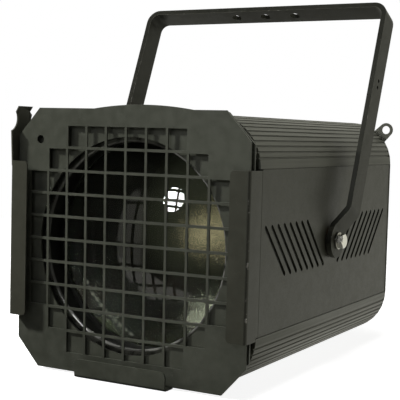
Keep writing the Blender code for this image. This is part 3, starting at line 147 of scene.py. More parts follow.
world = bpy.data.worlds.new("studio")
bpy.context.scene.world = world
world.use_nodes = True
sky = Value(world.node_tree)
way = sky.node("ShaderNodeTexCoord", out="Generated")
rightward, rearward, upright = (way.axis(name) for name in "XYZ")
seen, mirrored, refracted = (sky.node("ShaderNodeLightPath", out=f"Is {kind} Ray")
                             for kind in ("Camera", "Glossy", "Transmission"))
bent = mirrored.math("MAXIMUM", refracted)
left_wall = (1 - rightward.step(-0.44, -0.36)) * (1 - upright.step(0.42, 0.50))
table_front = 1 - (upright + rightward * 0.48).step(-0.55, -0.52)
wall_light, front_light, least_light, soft_light = 0.42, 0.85, 0.015, 0.07
tent = (left_wall * wall_light).math("MAXIMUM", table_front * front_light)
tent = tent * (1 - rearward.step(-0.71, -0.68))
backdrop = rearward.step(-0.25, 0.6) * upright.step(0.0, 0.6).between(0.60, 1.0)
surroundings = tent.math("MAXIMUM", backdrop) * before_glass(sky) + least_light
strength = seen + (1 - seen) * (bent * surroundings + (1 - bent) * soft_light)
warm_white = seen.between((1.0, 0.99, 0.87), (1.0, 1.0, 1.0))
for value, socket in ((strength, "Strength"), (warm_white, "Color")):
    world.node_tree.links.new(value.socket, world.node_tree.nodes["Background"].inputs[socket])

side, near, far, table_level = 0.9, -0.16, 1.3, -0.0004
corners = [(x, y, table_level) for x, y in ((-side, near), (side, near), (side, far), (-side, far))]
table = bpy.data.meshes.new("table")
table.from_pydata(corners, [], [(0, 1, 2, 3)])
linked("table_top", table)
paper = bpy.data.materials.new("white_paper")
paper.use_nodes = True
table.materials.append(paper)
ground = Value(paper.node_tree)
matt = ground.node("ShaderNodeBsdfDiffuse", {"Color": (0.50, 0.50, 0.50, 1)})
glow = ground.node("ShaderNodeEmission", {"Color": (1, 1, 1, 1), "Strength": 0.89})
lit = ground.node("ShaderNodeAddShader", {0: matt, 1: glow})
# Gloss and glass see the paper lit in a strip before the lens and behind the object, dark elsewhere.
right_of, behind = (here(ground).axis(name) for name in "XY")
in_front = (behind - right_of * 0.92).step(-0.125, -0.110) * (1 - behind.step(-0.052, -0.038))
in_front = in_front * (1 - (behind - right_of * 0.72).step(-0.045, -0.030)) * 0.85
falling = ((behind + right_of * 0.6).step(0.0, 0.16) * 0.72 + in_front) * before_glass(ground) + 0.02
bounce = ground.node("ShaderNodeEmission", {"Color": (1.0, 0.99, 0.90, 1), "Strength": falling})
plain = ground.node("ShaderNodeMixShader", {
    0: ground.node("ShaderNodeLightPath", out="Is Camera Ray"), 1: bounce, 2: lit})
paper.node_tree.links.new(plain.socket, paper.node_tree.nodes["Material Output"].inputs["Surface"])


def area_lamp(name, place, outward, size, power):
    """Round or oval lamp at a place, its back turned to a direction."""
    light = bpy.data.lights.new(name, "AREA")
    light.shape = "DISK" if size[0] == size[1] else "ELLIPSE"
    light.size, light.size_y = size
    light.energy = power
    obj = linked(name, light)
    obj.location = place
    obj.rotation_euler = outward.to_track_quat("Z", "Y").to_euler()
    return obj


def studio_lamp(name, azimuth, elevation, distance, size, power, glossy=False):
    """Area lamp that looks at the middle of the housing."""
    middle, outward = Vector((0, 0.05, 0.095)), direction(azimuth, elevation)
    obj = area_lamp(name, middle + distance * outward, outward, size, power)
    obj.visible_glossy = glossy
    return obj


studio_lamp("key_lamp", -56, 34, 1.0, (0.11, 0.11), 16.5)
studio_lamp("softbox", -2.8, 27.5, 1.4, (0.36, 0.42), 14, True).visible_diffuse = False
studio_lamp("right_fill", 88, 10, 1.8, (1.2, 1.2), 1.5)
studio_lamp("top_light", 20, 82, 1.4, (0.7, 0.7), 13)


def inner_glow(name, place, size, radiance, colour, facing=(0.70, -0.70, 0.14)):
    """Light that the lamp's own optics throw back through the lens, as a small warm or pale patch."""
    power = radiance * math.pi**2 * size * size / 4
    obj = area_lamp(name, place, -Vector(facing), (size, size), power)
    obj.data.color = colour
    obj.visible_camera = False


inner_glow("gold_glow", (-0.0295, 0.1170, 0.0880), 0.012, 0.80, (1.0, 0.84, 0.56))
inner_glow("pale_glow", (-0.0275, 0.1170, 0.0520), 0.0045, 6.0, (0.98, 1.0, 0.88))
inner_glow("faint_glow", (-0.0240, 0.1200, 0.0950), 0.060, 0.022, (0.95, 1.0, 0.74))
crescent_depth = 0.0437
crescent_mm = ((-50.4, 64.2), (-48.2, 60.4), (-46.0, 56.7), (-43.0, 53.3), (-40.0, 49.9), (-36.7, 46.8),
               (-33.3, 43.8), (-29.7, 40.6), (-26.2, 37.5), (-22.3, 34.6), (-18.4, 31.8))
for i, (x, z) in enumerate(crescent_mm):
    inner_glow(f"crescent_{i}", (x / 1000, crescent_depth, z / 1000), 0.0028, 0.16, (1.0, 1.0, 0.94),
               (0.4, -0.9, -0.1))


# Casings. Two aluminium extrusions, sawn to length, whose outside is ribbed by round-bottomed grooves
# at a 4 mm pitch round both corners. Satin black, with faint draw marks along the length.
def made(name, mesh, materials, slot, *replaced, body="housing"):
    """Finished piece at the origin that rides on a body and stands for CAD nodes."""
    chosen = [0] * len(mesh.polygons)
    mesh.polygons.foreach_get("material_index", chosen)
    mesh.materials.clear()
    for material in materials:
        mesh.materials.append(material)
    mesh.polygons.foreach_set("material_index", [min(i, len(materials) - 1) for i in chosen])
    if not mesh.has_custom_normals:
        mesh.shade_smooth()
        mesh.set_sharp_from_angle(angle=math.radians(40))
    piece = linked(name, mesh)
    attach(piece, body)
    if replaced:
        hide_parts(*replaced)


def evaluated(carrier):
    """Plain mesh of an object after its modifiers. The object goes."""
    result = bpy.data.meshes.new_from_object(carrier.evaluated_get(bpy.context.evaluated_depsgraph_get()))
    bpy.data.objects.remove(carrier)
    return result


def settled(mesh, **modifiers):
    """Mesh after its modifiers, each given as its kind and its settings."""
    carrier = linked("carrier", mesh)
    for kind, settings in modifiers.items():
        modifier = carrier.modifiers.new(kind, kind)
        for key, value in settings.items():
            setattr(modifier, key, value)
    return evaluated(carrier)


def eased(mesh, width, segments=2, wear=0, angle=35):
    """The mesh with its sharp edges rounded, the new faces in the wear material's slot."""
    mesh.shade_smooth()
    mesh.polygons.foreach_set("material_index", [0] * len(mesh.polygons))
    while len(mesh.materials) <= wear:
        mesh.materials.append(None)
    return settled(
        mesh,
        BEVEL={"width": width, "segments": segments, "limit_method": "ANGLE", "material": wear,
               "angle_limit": math.radians(angle), "miter_outer": "MITER_ARC"},
        WEIGHTED_NORMAL={"mode": "FACE_AREA", "weight": 90, "keep_sharp": False},
    )


class Recipe(Value):
    """Geometry Nodes tree with named sizes; made() runs it on a mesh and returns the plain result."""

    def __init__(self, name, **sizes):
        super().__init__(bpy.data.node_groups.new(name, "GeometryNodeTree"))
        face = self.tree.interface
        face.new_socket("Geometry", in_out="OUTPUT", socket_type="NodeSocketGeometry")
        face.new_socket("Blank", in_out="INPUT", socket_type="NodeSocketGeometry")
        self.inputs = []
        for size, value in sizes.items():
            kind = "NodeSocketInt" if isinstance(value, int) else "NodeSocketFloat"
            self.inputs.append((face.new_socket(size, in_out="INPUT", socket_type=kind).identifier, value))
        start = self.tree.nodes.new("NodeGroupInput")
        self.blank = Value(self.tree, start.outputs["Blank"])
        self.size = {size: Value(self.tree, start.outputs[size]) for size in sizes}

    def vector(self, **axes):
        return self.node("ShaderNodeCombineXYZ", axes)

    def moved(self, geometry, place, turn=0):
        """Geometry turned about X by an angle in degrees, then moved."""
        return self.node("GeometryNodeTransform", {
            "Geometry": geometry, "Rotation": (math.radians(turn), 0, 0), "Translation": place})

    def at_points(self, points, piece, turn=(0, 0, 0)):
        return self.node("GeometryNodeInstanceOnPoints", {
            "Points": points, "Instance": piece, "Rotation": turn})

    def whole(self, geometry):
        return self.node("GeometryNodeRealizeInstances", {0: geometry})

    def less(self, geometry, cutter):
        return self.node("GeometryNodeMeshBoolean", {0: geometry, 1: cutter}, operation="DIFFERENCE",
                         solver="EXACT")

    def ends(self, geometry, material):
        whole = self.whole(geometry)
        painted = self.node("GeometryNodeSetMaterial", {"Geometry": whole, "Material": material})
        self.tree.links.new(painted.socket, self.tree.nodes.new("NodeGroupOutput").inputs[0])

    def made(self, blank):
        carrier = linked("carrier", blank)
        modifier = carrier.modifiers.new("recipe", "NODES")
        modifier.node_group = self.tree
        for identifier, value in self.inputs:
            modifier[identifier] = value
        carrier.update_tag()
        return evaluated(carrier)


def arc(centre, radius, start, end, steps):
    """Points on an arc, angles in degrees, both ends included."""
    angles = [math.radians(start + (end - start) * i / steps) for i in range(steps + 1)]
    return [(centre[0] + radius * math.cos(a), centre[1] + radius * math.sin(a)) for a in angles]


def mesh_of(bm, name):
    """Plain mesh of a bmesh, which is freed."""
    mesh = bpy.data.meshes.new(name)
    bm.to_mesh(mesh)
    bm.free()
    return mesh


def plate(outline, front, back, holes=()):
    """Flat mesh from an outline of (X, Z) between two depths along Y."""
    bm = bmesh.new()
    edges = []
    for loop in (outline, *holes):
        verts = [bm.verts.new((x, front, z)) for x, z in loop]
        edges += [bm.edges.new(pair) for pair in zip(verts, verts[1:] + verts[:1])]
    if holes:
        bmesh.ops.triangle_fill(bm, use_beauty=True, use_dissolve=False, edges=edges)
    else:
        bm.faces.new(bm.verts[:])
    result = bmesh.ops.extrude_face_region(bm, geom=bm.faces[:])
    raised = [item for item in result["geom"] if isinstance(item, bmesh.types.BMVert)]
    bmesh.ops.translate(bm, vec=(0, back - front, 0), verts=raised)
    bmesh.ops.recalc_face_normals(bm, faces=bm.faces)
    return mesh_of(bm, "plate")


def finish(name, colour=None, roughness=None, metallic=0.0, **constants):
    """Material with its Principled shader, and a Value from which its nodes grow."""
    material = bpy.data.materials.new(name)
    material.use_nodes = True
    shader = material.node_tree.nodes["Principled BSDF"]
    values = {"Base Color": colour, "Roughness": roughness, "Metallic": metallic, **constants}

    def feed(socket, value):
        if isinstance(value, Value):
            material.node_tree.links.new(value.socket, shader.inputs[socket])
        else:
            shader.inputs[socket].default_value = (*value, 1) if isinstance(value, tuple) else value

    for key, value in values.items():
        if value is not None:
            feed(key, value)
    return material, Value(material.node_tree), feed


def noise(start, scale, detail=2.0, roughness=0.5, coords=None):
    """Noise over object coordinates, scale in cells per metre."""
    return start.node("ShaderNodeTexNoise", {
        "Vector": coords or here(start), "Scale": scale, "Detail": detail, "Roughness": roughness})


def stretched(start, *scale):
    return start.node("ShaderNodeMapping", {"Vector": here(start), "Scale": scale})


def relief(start, height, depth, strength=1.0):
    return start.node("ShaderNodeBump", {"Height": height, "Distance": depth, "Strength": strength})


def satin(shine):
    """Constants of a satin black coat, whose gloss is a little olive."""
    return {"Specular IOR Level": shine, "Specular Tint": (0.96, 1.0, 0.88)}


aluminium_coat, start, feed = finish("casing_coat", **satin(0.5))
streaks = noise(start, 1.0, 3.0, 0.6, stretched(start, 700, 9, 700))
tone = streaks * 0.35 + noise(start, 22.0, 3.0) * 0.65
feed("Base Color", tone.step(0.3, 0.7).between((0.038, 0.039, 0.030), (0.056, 0.057, 0.045)))
feed("Roughness", streaks.step(0.3, 0.7).between(0.40, 0.52))
feed("Normal", relief(start, streaks * 0.6 + noise(start, 1500.0) * 0.4, 0.00001, 0.35))

half_width, half_height, corner, centre_height = 0.0955, 0.0894, 0.0348, 0.0951
corner_x, corner_z = half_width - corner, half_height - corner
casing_front, casing_length = 0.008, 0.2551
wall, seam, sheet_ease = 0.0025, 0.05495, 0.00018
port_reach, port_angle, port_radius, bore_radius = 0.0290, 22.0, 0.0044, 0.0023
bore_at = (corner_x + port_reach * math.cos(math.radians(port_angle)),
           corner_z + port_reach * math.sin(math.radians(port_angle)))

ribs = Recipe("ribbed_extrusion", pitch=0.004, groove_width=0.0014, groove_depth=0.00085, count=55,
              flat_half=corner_x, corner_radius=corner, top=half_height, length=casing_length,
              front=casing_front)
size = ribs.size
run = (ribs.node("GeometryNodeInputIndex") - (size["count"] - 1) / 2) * size["pitch"]
away = run.math("ABSOLUTE")
bend = (away - size["flat_half"]).math("MAXIMUM") / size["corner_radius"]
reach = size["groove_width"] * size["groove_width"] / 4 + size["groove_depth"] * size["groove_depth"]
groove_radius = reach / (size["groove_depth"] * 2)
ride_depth = size["corner_radius"] - (size["groove_depth"] - groove_radius)
sideways = away.math("MINIMUM", size["flat_half"]) + ride_depth * bend.math("SINE")
place = ribs.vector(X=run.math("SIGN") * sideways, Y=size["front"] + size["length"] / 2,
                    Z=size["top"] - size["corner_radius"] + ride_depth * bend.math("COSINE"))
line = ribs.node("GeometryNodeMeshLine", {"Count": size["count"]})
line = ribs.node("GeometryNodeSetPosition", {"Geometry": line, "Position": place})
groove = ribs.node("GeometryNodeMeshCylinder", {
    "Vertices": 14, "Radius": groove_radius, "Depth": size["length"] * 1.02})
grooves = ribs.at_points(line, groove, (math.radians(90), 0, 0))
ribs.ends(ribs.less(ribs.blank, ribs.whole(grooves)), aluminium_coat)

inner = corner - wall
flank = math.degrees(math.asin(port_radius / port_reach))
edge_angle = math.degrees(math.asin((seam - corner_z) / corner))
inner_edge = math.degrees(math.asin((seam - corner_z) / inner))
outer_line = arc((corner_x, corner_z), corner, edge_angle, 90, 24)
boss, boss_steps = [], 12
for i in range(boss_steps + 1):
    offset = flank * (1 - 2 * i / boss_steps)
    along = port_reach * math.cos(math.radians(offset))
    sag = port_reach * math.sin(math.radians(offset))
    depth = along - math.sqrt(max(port_radius**2 - sag**2, 0))
    angle = math.radians(port_angle + offset)
    boss.append((corner_x + depth * math.cos(angle), corner_z + depth * math.sin(angle)))
inner_line = (arc((corner_x, corner_z), inner, 90, port_angle + flank, 14) + boss
              + arc((corner_x, corner_z), inner, port_angle - flank, inner_edge, 3))
section = outer_line + [(-x, z) for x, z in outer_line[::-1] + inner_line[::-1]] + inner_line
bores = [arc((side * bore_at[0], bore_at[1]), bore_radius, 0, 345, 23) for side in (1, -1)]
for name, side in (("top_casing", 1), ("bottom_casing", -1)):
    blank = plate(section, casing_front, casing_front + casing_length, bores)
    ribbed_mesh = eased(ribs.made(blank), sheet_ease, 2, 0, 30)
    ribbed_mesh.transform(Matrix.Translation((0, 0, centre_height)) @ Matrix.Diagonal((1, 1, side, 1)))
    if side < 0:
        ribbed_mesh.flip_normals()
    made(name + "_extruded", ribbed_mesh, [aluminium_coat], "casing", name)


# Side panels. Sheet steel, punched with two banks of slanted slots and folded at the front into the
# lips that hold the frame, the left one with a spring tab. Powder coated black, edges rubbed; the front
# folds carry a lighter coat, partly real chips and partly a painted highlight.
def powder_coat(name, dark, light, gloss=(0.36, 0.50), peel=0.5, shine=0.4, crease=None):
    """Satin powder coat: uneven tone, orange peel, fine grain, a little dust and a crease at a depth Y."""
    material, start, feed = finish(name, **satin(shine))
    cloud = noise(start, 16.0, 4.0, 0.6)
    mottle = noise(start, 140.0, 3.0)
    fine = noise(start, 900.0)
    dust = noise(start, 1900.0, 1.0).step(0.66, 0.74) * noise(start, 60.0).step(0.45, 0.65)
    tone = (cloud * 0.6 + mottle * 0.4).step(0.32, 0.68).between(dark, light)
    feed("Base Color", (dust * 0.30).between(tone, (0.19, 0.19, 0.17)))
    feed("Roughness", (mottle * 0.5 + fine * 0.5).step(0.3, 0.7).between(*gloss) + dust * 0.15)
    height = fine * 0.7 + noise(start, 3200.0) * 0.3
    if crease is not None:
        height = height + here(start).axis("Y").step(crease - 0.0005, crease + 0.0005) * 24
    feed("Normal", relief(start, height, 0.00003, peel))
    return material


def rubbed_edge(name, coat, bare):
    """Powder coat worn thin on an edge, where bare metal shows in short runs."""
    material, start, feed = finish(name, **satin(0.4))
    worn = noise(start, 260.0, 4.0, 0.65).step(0.57, 0.67) * noise(start, 30.0).step(0.40, 0.58)
    feed("Base Color", worn.between(coat, bare))
    feed("Roughness", worn.between(0.42, 0.34))
    feed("Metallic", worn * 0.85)
    return material


def skin_of(node):
    """Copy of a CAD node's mesh, sewn together, its flat faces whole."""
    bm = bmesh.new()
    bm.from_mesh(nodes[node].data)
    bmesh.ops.remove_doubles(bm, verts=bm.verts, dist=2e-6)
    bmesh.ops.dissolve_limit(bm, angle_limit=math.radians(0.4), verts=bm.verts, edges=bm.edges)
    return mesh_of(bm, node)


panel_coat = powder_coat("panel_coat", (0.027, 0.027, 0.020), (0.037, 0.037, 0.028), (0.34, 0.46),
                         shine=0.32, crease=0.0112)
# Lighter coat for the panels' edges and front folds: rubbed wear with bare chips, and on the folds a painted
# highlight.
panel_wear_and_fold_highlight = rubbed_edge("panel_wear_and_fold_highlight", (0.050, 0.050, 0.040), (0.42, 0.41, 0.38))
fold_depth = -0.005
for side in ("right", "left"):
    node = "side_panel_" + side
    panel = eased(skin_of(node), 0.00022, 2, 1)
    # The front folds take the lighter coat: real chips, and a painted highlight where the bend catches light.
    for face in panel.polygons:
        if face.normal.y < -0.25 and abs(face.normal.x) > 0.25 and face.center.y < fold_depth:
            face.material_index = 1
    made(node + "_folded", panel, [panel_coat, panel_wear_and_fold_highlight], "coat", node)


# Front plate. Laser-cut sheet with the round lens opening, its lower edge folded forward and up into
# a channel, held off the casings by four turned spacers and flush screws.
def turned(profile, centre=(0, 0), steps=128):
    """Mesh of a profile of (radius, Y) turned about an axis along Y through a point (X, Z)."""
    bm = bmesh.new()
    verts = [bm.verts.new((r, y, 0)) for r, y in profile]
    pairs = list(zip(verts, verts[1:]))
    if profile[0][0] > 0:
        pairs.append((verts[-1], verts[0]))
    edges = [bm.edges.new(pair) for pair in pairs]
    bmesh.ops.spin(bm, geom=verts + edges, cent=(0, 0, 0), axis=(0, 1, 0), angle=2 * math.pi,
                   steps=steps, use_merge=True)
    bmesh.ops.remove_doubles(bm, verts=bm.verts, dist=1e-6)
    bmesh.ops.recalc_face_normals(bm, faces=bm.faces)
    bmesh.ops.translate(bm, vec=(centre[0], 0, centre[1]), verts=bm.verts)
    return mesh_of(bm, "turned")


def cut_by(mesh, *cutters, operation="DIFFERENCE"):
    """The mesh less each cutter's shape, or what both share."""
    for cutter in cutters:
        carrier = linked("cutter", cutter)
        mesh = settled(mesh, BOOLEAN={"object": carrier, "operation": operation, "solver": "EXACT"})
        bpy.data.objects.remove(carrier)
    return mesh


lens_height, opening_radius = centre_height - 0.0017, 0.0749
front_coat = powder_coat("front_coat", (0.031, 0.033, 0.025), (0.051, 0.054, 0.042))
front_edge = rubbed_edge("front_edge", (0.048, 0.050, 0.040), (0.16, 0.16, 0.15))
opening = turned([(0, -0.01), (opening_radius, -0.01), (opening_radius, 0.01), (0, 0.01)],
                 (0, lens_height), 192)
front = eased(cut_by(skin_of("front_plate"), opening), sheet_ease, 2, 1)
made("front_plate_cut", front, [front_coat, front_edge], "coat", "front_plate")


def zinc_plate(name, colour=(0.78, 0.78, 0.75), gloss=(0.20, 0.34)):
    """Zinc with a faint yellow passivated bloom and fine handling marks."""
    material, start, feed = finish(name, metallic=1.0)
    marks = noise(start, 2600.0, 3.0, 0.6)
    warm = tuple(c * f for c, f in zip(colour, (1.02, 1.0, 0.92)))
    feed("Base Color", noise(start, 420.0, 3.0).step(0.35, 0.65).between(colour, warm))
    feed("Roughness", marks.step(0.3, 0.7).between(*gloss))
    feed("Normal", relief(start, marks, 0.00001, 0.4))
    return material


def coated(material, *names):
    """CAD nodes that keep their shape get a finish."""
    for name in names:
        nodes[name].material_slots[0].material = material


zinc = zinc_plate("zinc_plate")
black_zinc = zinc_plate("black_zinc", (0.10, 0.10, 0.09), (0.30, 0.44))
dull_zinc = zinc_plate("dull_zinc", (0.36, 0.36, 0.34), (0.26, 0.38))


def screw_set(end, head, steps, face, crown, recess_depth, metal):
    """The same screw in each of the four ports, its head set on a face and given a cross recess."""
    recipe = Recipe(end + "_screws", spread_x=2 * bore_at[0], spread_z=2 * bore_at[1], recess_width=0.0009,
                    recess_reach=0.0034, recess_depth=recess_depth, top=face + crown)
    sizes = recipe.size
    cut = recipe.blank
    for wide, high in (("recess_reach", "recess_width"), ("recess_width", "recess_reach")):
        bar = recipe.node("GeometryNodeMeshCube", {"Size": recipe.vector(
            X=sizes[wide], Y=sizes["recess_depth"] * 2, Z=sizes[high])})
        cut = recipe.less(cut, recipe.moved(bar, recipe.vector(Y=sizes["top"])))
    grid = recipe.node("GeometryNodeMeshGrid", {
        "Size X": sizes["spread_x"], "Size Y": sizes["spread_z"], "Vertices X": 2, "Vertices Y": 2})
    recipe.ends(recipe.at_points(recipe.moved(grid, (0, 0, centre_height), 90), cut), metal)
    blank = turned([(r, face + y) for r, y in head], (0, 0), steps)
    made(end + "_screws", recipe.made(blank), [metal], "steel", *(f"{end}_screw_{i}" for i in (1, 2, 3, 4)))


front_face = 0.0029
flush_head = [(0, 0), (0.0033, 0), (0.0034, 0.0001), (0.0020, 0.0014), (0.0020, 0.0118), (0.0018, 0.0120),
              (0, 0.0120)]
screw_set("front", flush_head, 32, front_face, 0.0, 0.0009, black_zinc)
coated(zinc, *(f"front_spacer_{i}" for i in (1, 2, 3, 4)))


# Guard. Sheet steel punched with square holes in stepped rows, its upper edge cut to a shallow finger
# grip. It drops into the channel behind the lips and leans forward a little.
guard_sheet = 0.0012
guard = Recipe("punched_guard", pitch=0.0162, bar=0.0019, rows=10, full_rows=2.5, half_row=5.0,
               centre_x=-0.0020, centre_z=0.0004, sheet=guard_sheet)
size = guard.size
grid = guard.node("GeometryNodeMeshGrid", {
    "Size X": size["pitch"] * (size["rows"] - 1), "Size Y": size["pitch"] * (size["rows"] - 1),
    "Vertices X": size["rows"], "Vertices Y": size["rows"]})
spot = guard.node("GeometryNodeInputPosition")
column, row = ((spot.axis(name) / size["pitch"]).math("ABSOLUTE") for name in "XY")
missing = column + (row - size["full_rows"]).math("MAXIMUM")
missing = guard.node("FunctionNodeCompare", {0: missing, 1: size["half_row"]}, operation="GREATER_THAN")
grid = guard.node("GeometryNodeDeleteGeometry", {"Geometry": grid, "Selection": missing}, domain="POINT")
grid = guard.moved(grid, guard.vector(X=size["centre_x"], Y=size["sheet"] / 2, Z=size["centre_z"]), 90)
hole = size["pitch"] - size["bar"]
punch = guard.node("GeometryNodeMeshCube", {"Size": guard.vector(X=hole, Y=size["sheet"] * 3, Z=hole)})
guard_coat = powder_coat("guard_coat", (0.032, 0.034, 0.026), (0.054, 0.057, 0.045))
guard_edge = rubbed_edge("guard_edge", (0.048, 0.050, 0.040), (0.11, 0.11, 0.10))
guard.ends(guard.less(guard.blank, guard.whole(guard.at_points(grid, punch))), guard_coat)

guard_x, guard_z, cut_x, cut_z = 0.0925, 0.0928, 0.0178, 0.0196
guard_drop, guard_lean = 0.0008, 0.85
grip_half, grip_rise, grip_x = 0.0390, 0.0030, 0.0110
grip_radius = (grip_half**2 + grip_rise**2) / (2 * grip_rise)
grip_sweep = math.degrees(math.asin(grip_half / grip_radius))
right_side = [(guard_x - cut_x, -guard_z), (guard_x, cut_z - guard_z), (guard_x, guard_z - cut_z),
              (guard_x - cut_x, guard_z)]
grip_centre = (grip_x, guard_z + grip_rise - grip_radius)
octagon = (right_side + arc(grip_centre, grip_radius, 90 - grip_sweep, 90 + grip_sweep, 24)
           + [(-x, z) for x, z in right_side[::-1]])
guard_hole = arc((-0.0737, 0.0705), 0.0030, 0, 348.75, 31)
punched_mesh = eased(guard.made(plate(octagon, 0, guard_sheet, [guard_hole])), 0.00016, 2, 1)
punched_mesh.transform(Matrix.Translation((0, 0, centre_height - guard_drop))
                       @ Matrix.Rotation(math.radians(guard_lean), 4, "X"))
made("guard_punched", punched_mesh, [guard_coat, guard_edge], "coat", "guard", body="guard")


# Lens holder. A spun steel tube with a flange, a black ring with a bare rounded inner edge that frames
# the lens, a seat ring in front of the lens and a retaining ring behind it, all slid into the tube.
tube_coat = powder_coat("tube_coat", (0.010, 0.010, 0.009), (0.020, 0.020, 0.018), (0.38, 0.55), 1.0)
lens_at = (0, lens_height)
lens_back = 0.0357426
tube_front, tube_end = 0.0046, lens_back + 0.0063
tube_inside, tube_outside, flange, ring_radius = 0.0770, 0.0780, 0.0840, 0.0767
tube = [(tube_inside, tube_front), (flange - 0.0002, tube_front), (flange, tube_front + 0.0002),
        (flange, tube_front + 0.0008), (flange - 0.0002, tube_front + 0.0010),
        (0.0784, tube_front + 0.0010), (tube_outside, tube_front + 0.0014), (tube_outside, tube_end),
        (tube_inside, tube_end)]
made("lens_tube_spun", turned(tube, lens_at), [tube_coat], "coat", "lens_tube")
rim_coat = powder_coat("rim_coat", (0.014, 0.014, 0.012), (0.024, 0.024, 0.020), (0.24, 0.36), 0.3)
rim_metal = finish("rim_metal", (0.12, 0.12, 0.11), 0.22, 0.1)[0]
rim_inside, bare_radius, rim_front, rim_rear = 0.0713, 0.0727, 0.0075, 0.0092
rim = [(rim_inside, 0.0088), (0.07142, 0.00845), (0.07175, 0.00805), (0.0722, 0.0077), (0.0728, rim_front),
       (0.0765, rim_front), (ring_radius, rim_front + 0.0002), (ring_radius, rim_rear - 0.0002),
       (0.0765, rim_rear), (0.0715, rim_rear), (rim_inside, rim_rear - 0.0002)]
ring = turned(rim, lens_at)
for face in ring.polygons:
    face.material_index = int(math.hypot(face.center.x, face.center.z - lens_height) < bare_radius)
made("lens_rim_turned", ring, [rim_coat, rim_metal], "bright", "lens_rim")
seat_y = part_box("lens_seat")[1][1]
seat = [(0.0735, seat_y - 0.0015), (0.0737, seat_y - 0.0017), (ring_radius, seat_y - 0.0017),
        (ring_radius, seat_y), (0.0735, seat_y)]
made("lens_seat_turned", turned(seat, lens_at), [tube_coat], "coat", "lens_seat")
keep, keep_end = lens_back + 0.0003, tube_end - 0.0003
retainer = [(0.0715, keep), (ring_radius, keep), (ring_radius, keep_end), (0.0757, keep_end),
            (0.0757, keep + 0.0014), (0.0753, keep + 0.0010), (0.0715, keep + 0.0010)]
made("lens_retainer_pressed", turned(retainer, lens_at), [tube_coat], "coat", "lens_retainer")


# Lens. Pressed plano-convex glass of 150 mm, its dome to the front and its flat back pebbled, so that
# it spreads the filament's image.
def clear_glass(name, tint, pebble_from=None):
    """Clear glass, a little wavy, pebbled from a depth Y on."""
    material, start, feed = finish(name, tint, 0.0, **{"Transmission Weight": 1.0, "IOR": 1.52})
    bumps = noise(start, 14.0, 1.0) * 0.002
    if pebble_from is not None:
        back_face = here(start).axis("Y").step(pebble_from - 0.0001, pebble_from)
        bumps = bumps + noise(start, 2600.0, 0.0) * back_face * 0.14
        feed("Roughness", back_face * 0.12)
    feed("Normal", relief(start, bumps, 0.0006))
    return material


lens_curve, lens_radius, vertex, lens_chamfer = 0.1212, 0.0750, 0.00525, 0.0006
sweep = math.degrees(math.asin(lens_radius / lens_curve))
dome = arc((0, vertex + lens_curve), lens_curve, -90, sweep - 90, 40)
lens_glass = clear_glass("lens_glass", (0.88, 0.94, 0.78), lens_back - 0.0002)
lens_profile = [(0, vertex), *dome[1:], (lens_radius, lens_back - lens_chamfer),
                (lens_radius - lens_chamfer, lens_back), (0, lens_back)]
made("lens_pressed", turned(lens_profile, lens_at, 160), [lens_glass], "glass", "lens")


# Rear plate and light trap. The plate closes the casings, stands on its lower lip and lets warm air
# out through seven slots, with a folded hood inside them that stops the light.
def dressed(node, way, ease, materials, slot, body="housing"):
    """Piece of a CAD node's own shape with its edges eased, in the last material."""
    made(f"{node}_{way}", eased(skin_of(node), ease, 2, len(materials) - 1), materials, slot, node, body=body)


rear_coat = powder_coat("rear_coat", (0.034, 0.034, 0.026), (0.046, 0.046, 0.036))
rear_edge = rubbed_edge("rear_edge", (0.048, 0.048, 0.038), (0.40, 0.39, 0.36))
dressed("rear_plate", "cut", sheet_ease, [rear_coat, rear_edge], "coat")
coated(tube_coat, "light_trap", "baffle_right", "baffle_left")
rear_face = 0.2651
pan_head = [(0, -0.0120), (0.0017, -0.0120), (0.0020, -0.0116), (0.0020, 0), (0.0036, 0), (0.0038, 0.0002),
            (0.0038, 0.0010), (0.0034, 0.0017), (0.0026, 0.0022), (0.0014, 0.0024), (0, 0.00242)]
screw_set("rear", pan_head, 40, rear_face, 0.0025, 0.0013, zinc)


# Safety eye. A laser-cut steel link, fixed to the upper right corner by a flush screw and a nut, for
# the cable that holds the spotlight if its clamp fails.
def box_of(node):
    """A CAD node's lowest and highest corner, and the (X, Z) of its middle."""
    low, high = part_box(node)
    return low, high, ((low[0] + high[0]) / 2, (low[2] + high[2]) / 2)


dressed("safety_eye", "cut", 0.0002, [rear_coat, rear_edge], "coat")
low, high, eye_at = box_of("safety_eye_screw")
face, recess_half, recess_reach = high[1], 0.00045, 0.0018
eye_screw = turned([(0, face - 0.0120), (0.0018, face - 0.0120), (0.0020, face - 0.0117),
                    (0.0020, face - 0.0015), (0.0034, face - 0.0001), (0.0033, face), (0, face)], eye_at, 40)
for x, z in ((recess_reach, recess_half), (recess_half, recess_reach)):
    corners = [(eye_at[0] + i * x, eye_at[1] + j * z) for i, j in ((-1, -1), (1, -1), (1, 1), (-1, 1))]
    eye_screw = cut_by(eye_screw, plate(corners, face - 0.0009, face + 0.001))
made("safety_eye_screw_turned", eye_screw, [zinc], "steel", "safety_eye_screw")
coated(zinc, "safety_eye_nut")


# Cable gland. Moulded black nylon: a threaded body with a hex collar, a locknut inside and a ribbed
# dome nut that closes on the rubber seal. No lead is fitted.
def moulded(name, dark, light, gloss=(0.38, 0.52)):
    """Matt moulded plastic or rubber: spark-eroded grain and a little bloom."""
    material, start, feed = finish(name, **{"Specular IOR Level": 0.5})
    bloom = noise(start, 45.0, 3.0)
    feed("Base Color", bloom.step(0.35, 0.65).between(dark, light))
    feed("Roughness", bloom.step(0.3, 0.7).between(*gloss))
    feed("Normal", relief(start, noise(start, 1700.0, 2.0, 0.6), 0.00004, 0.6))
    return material


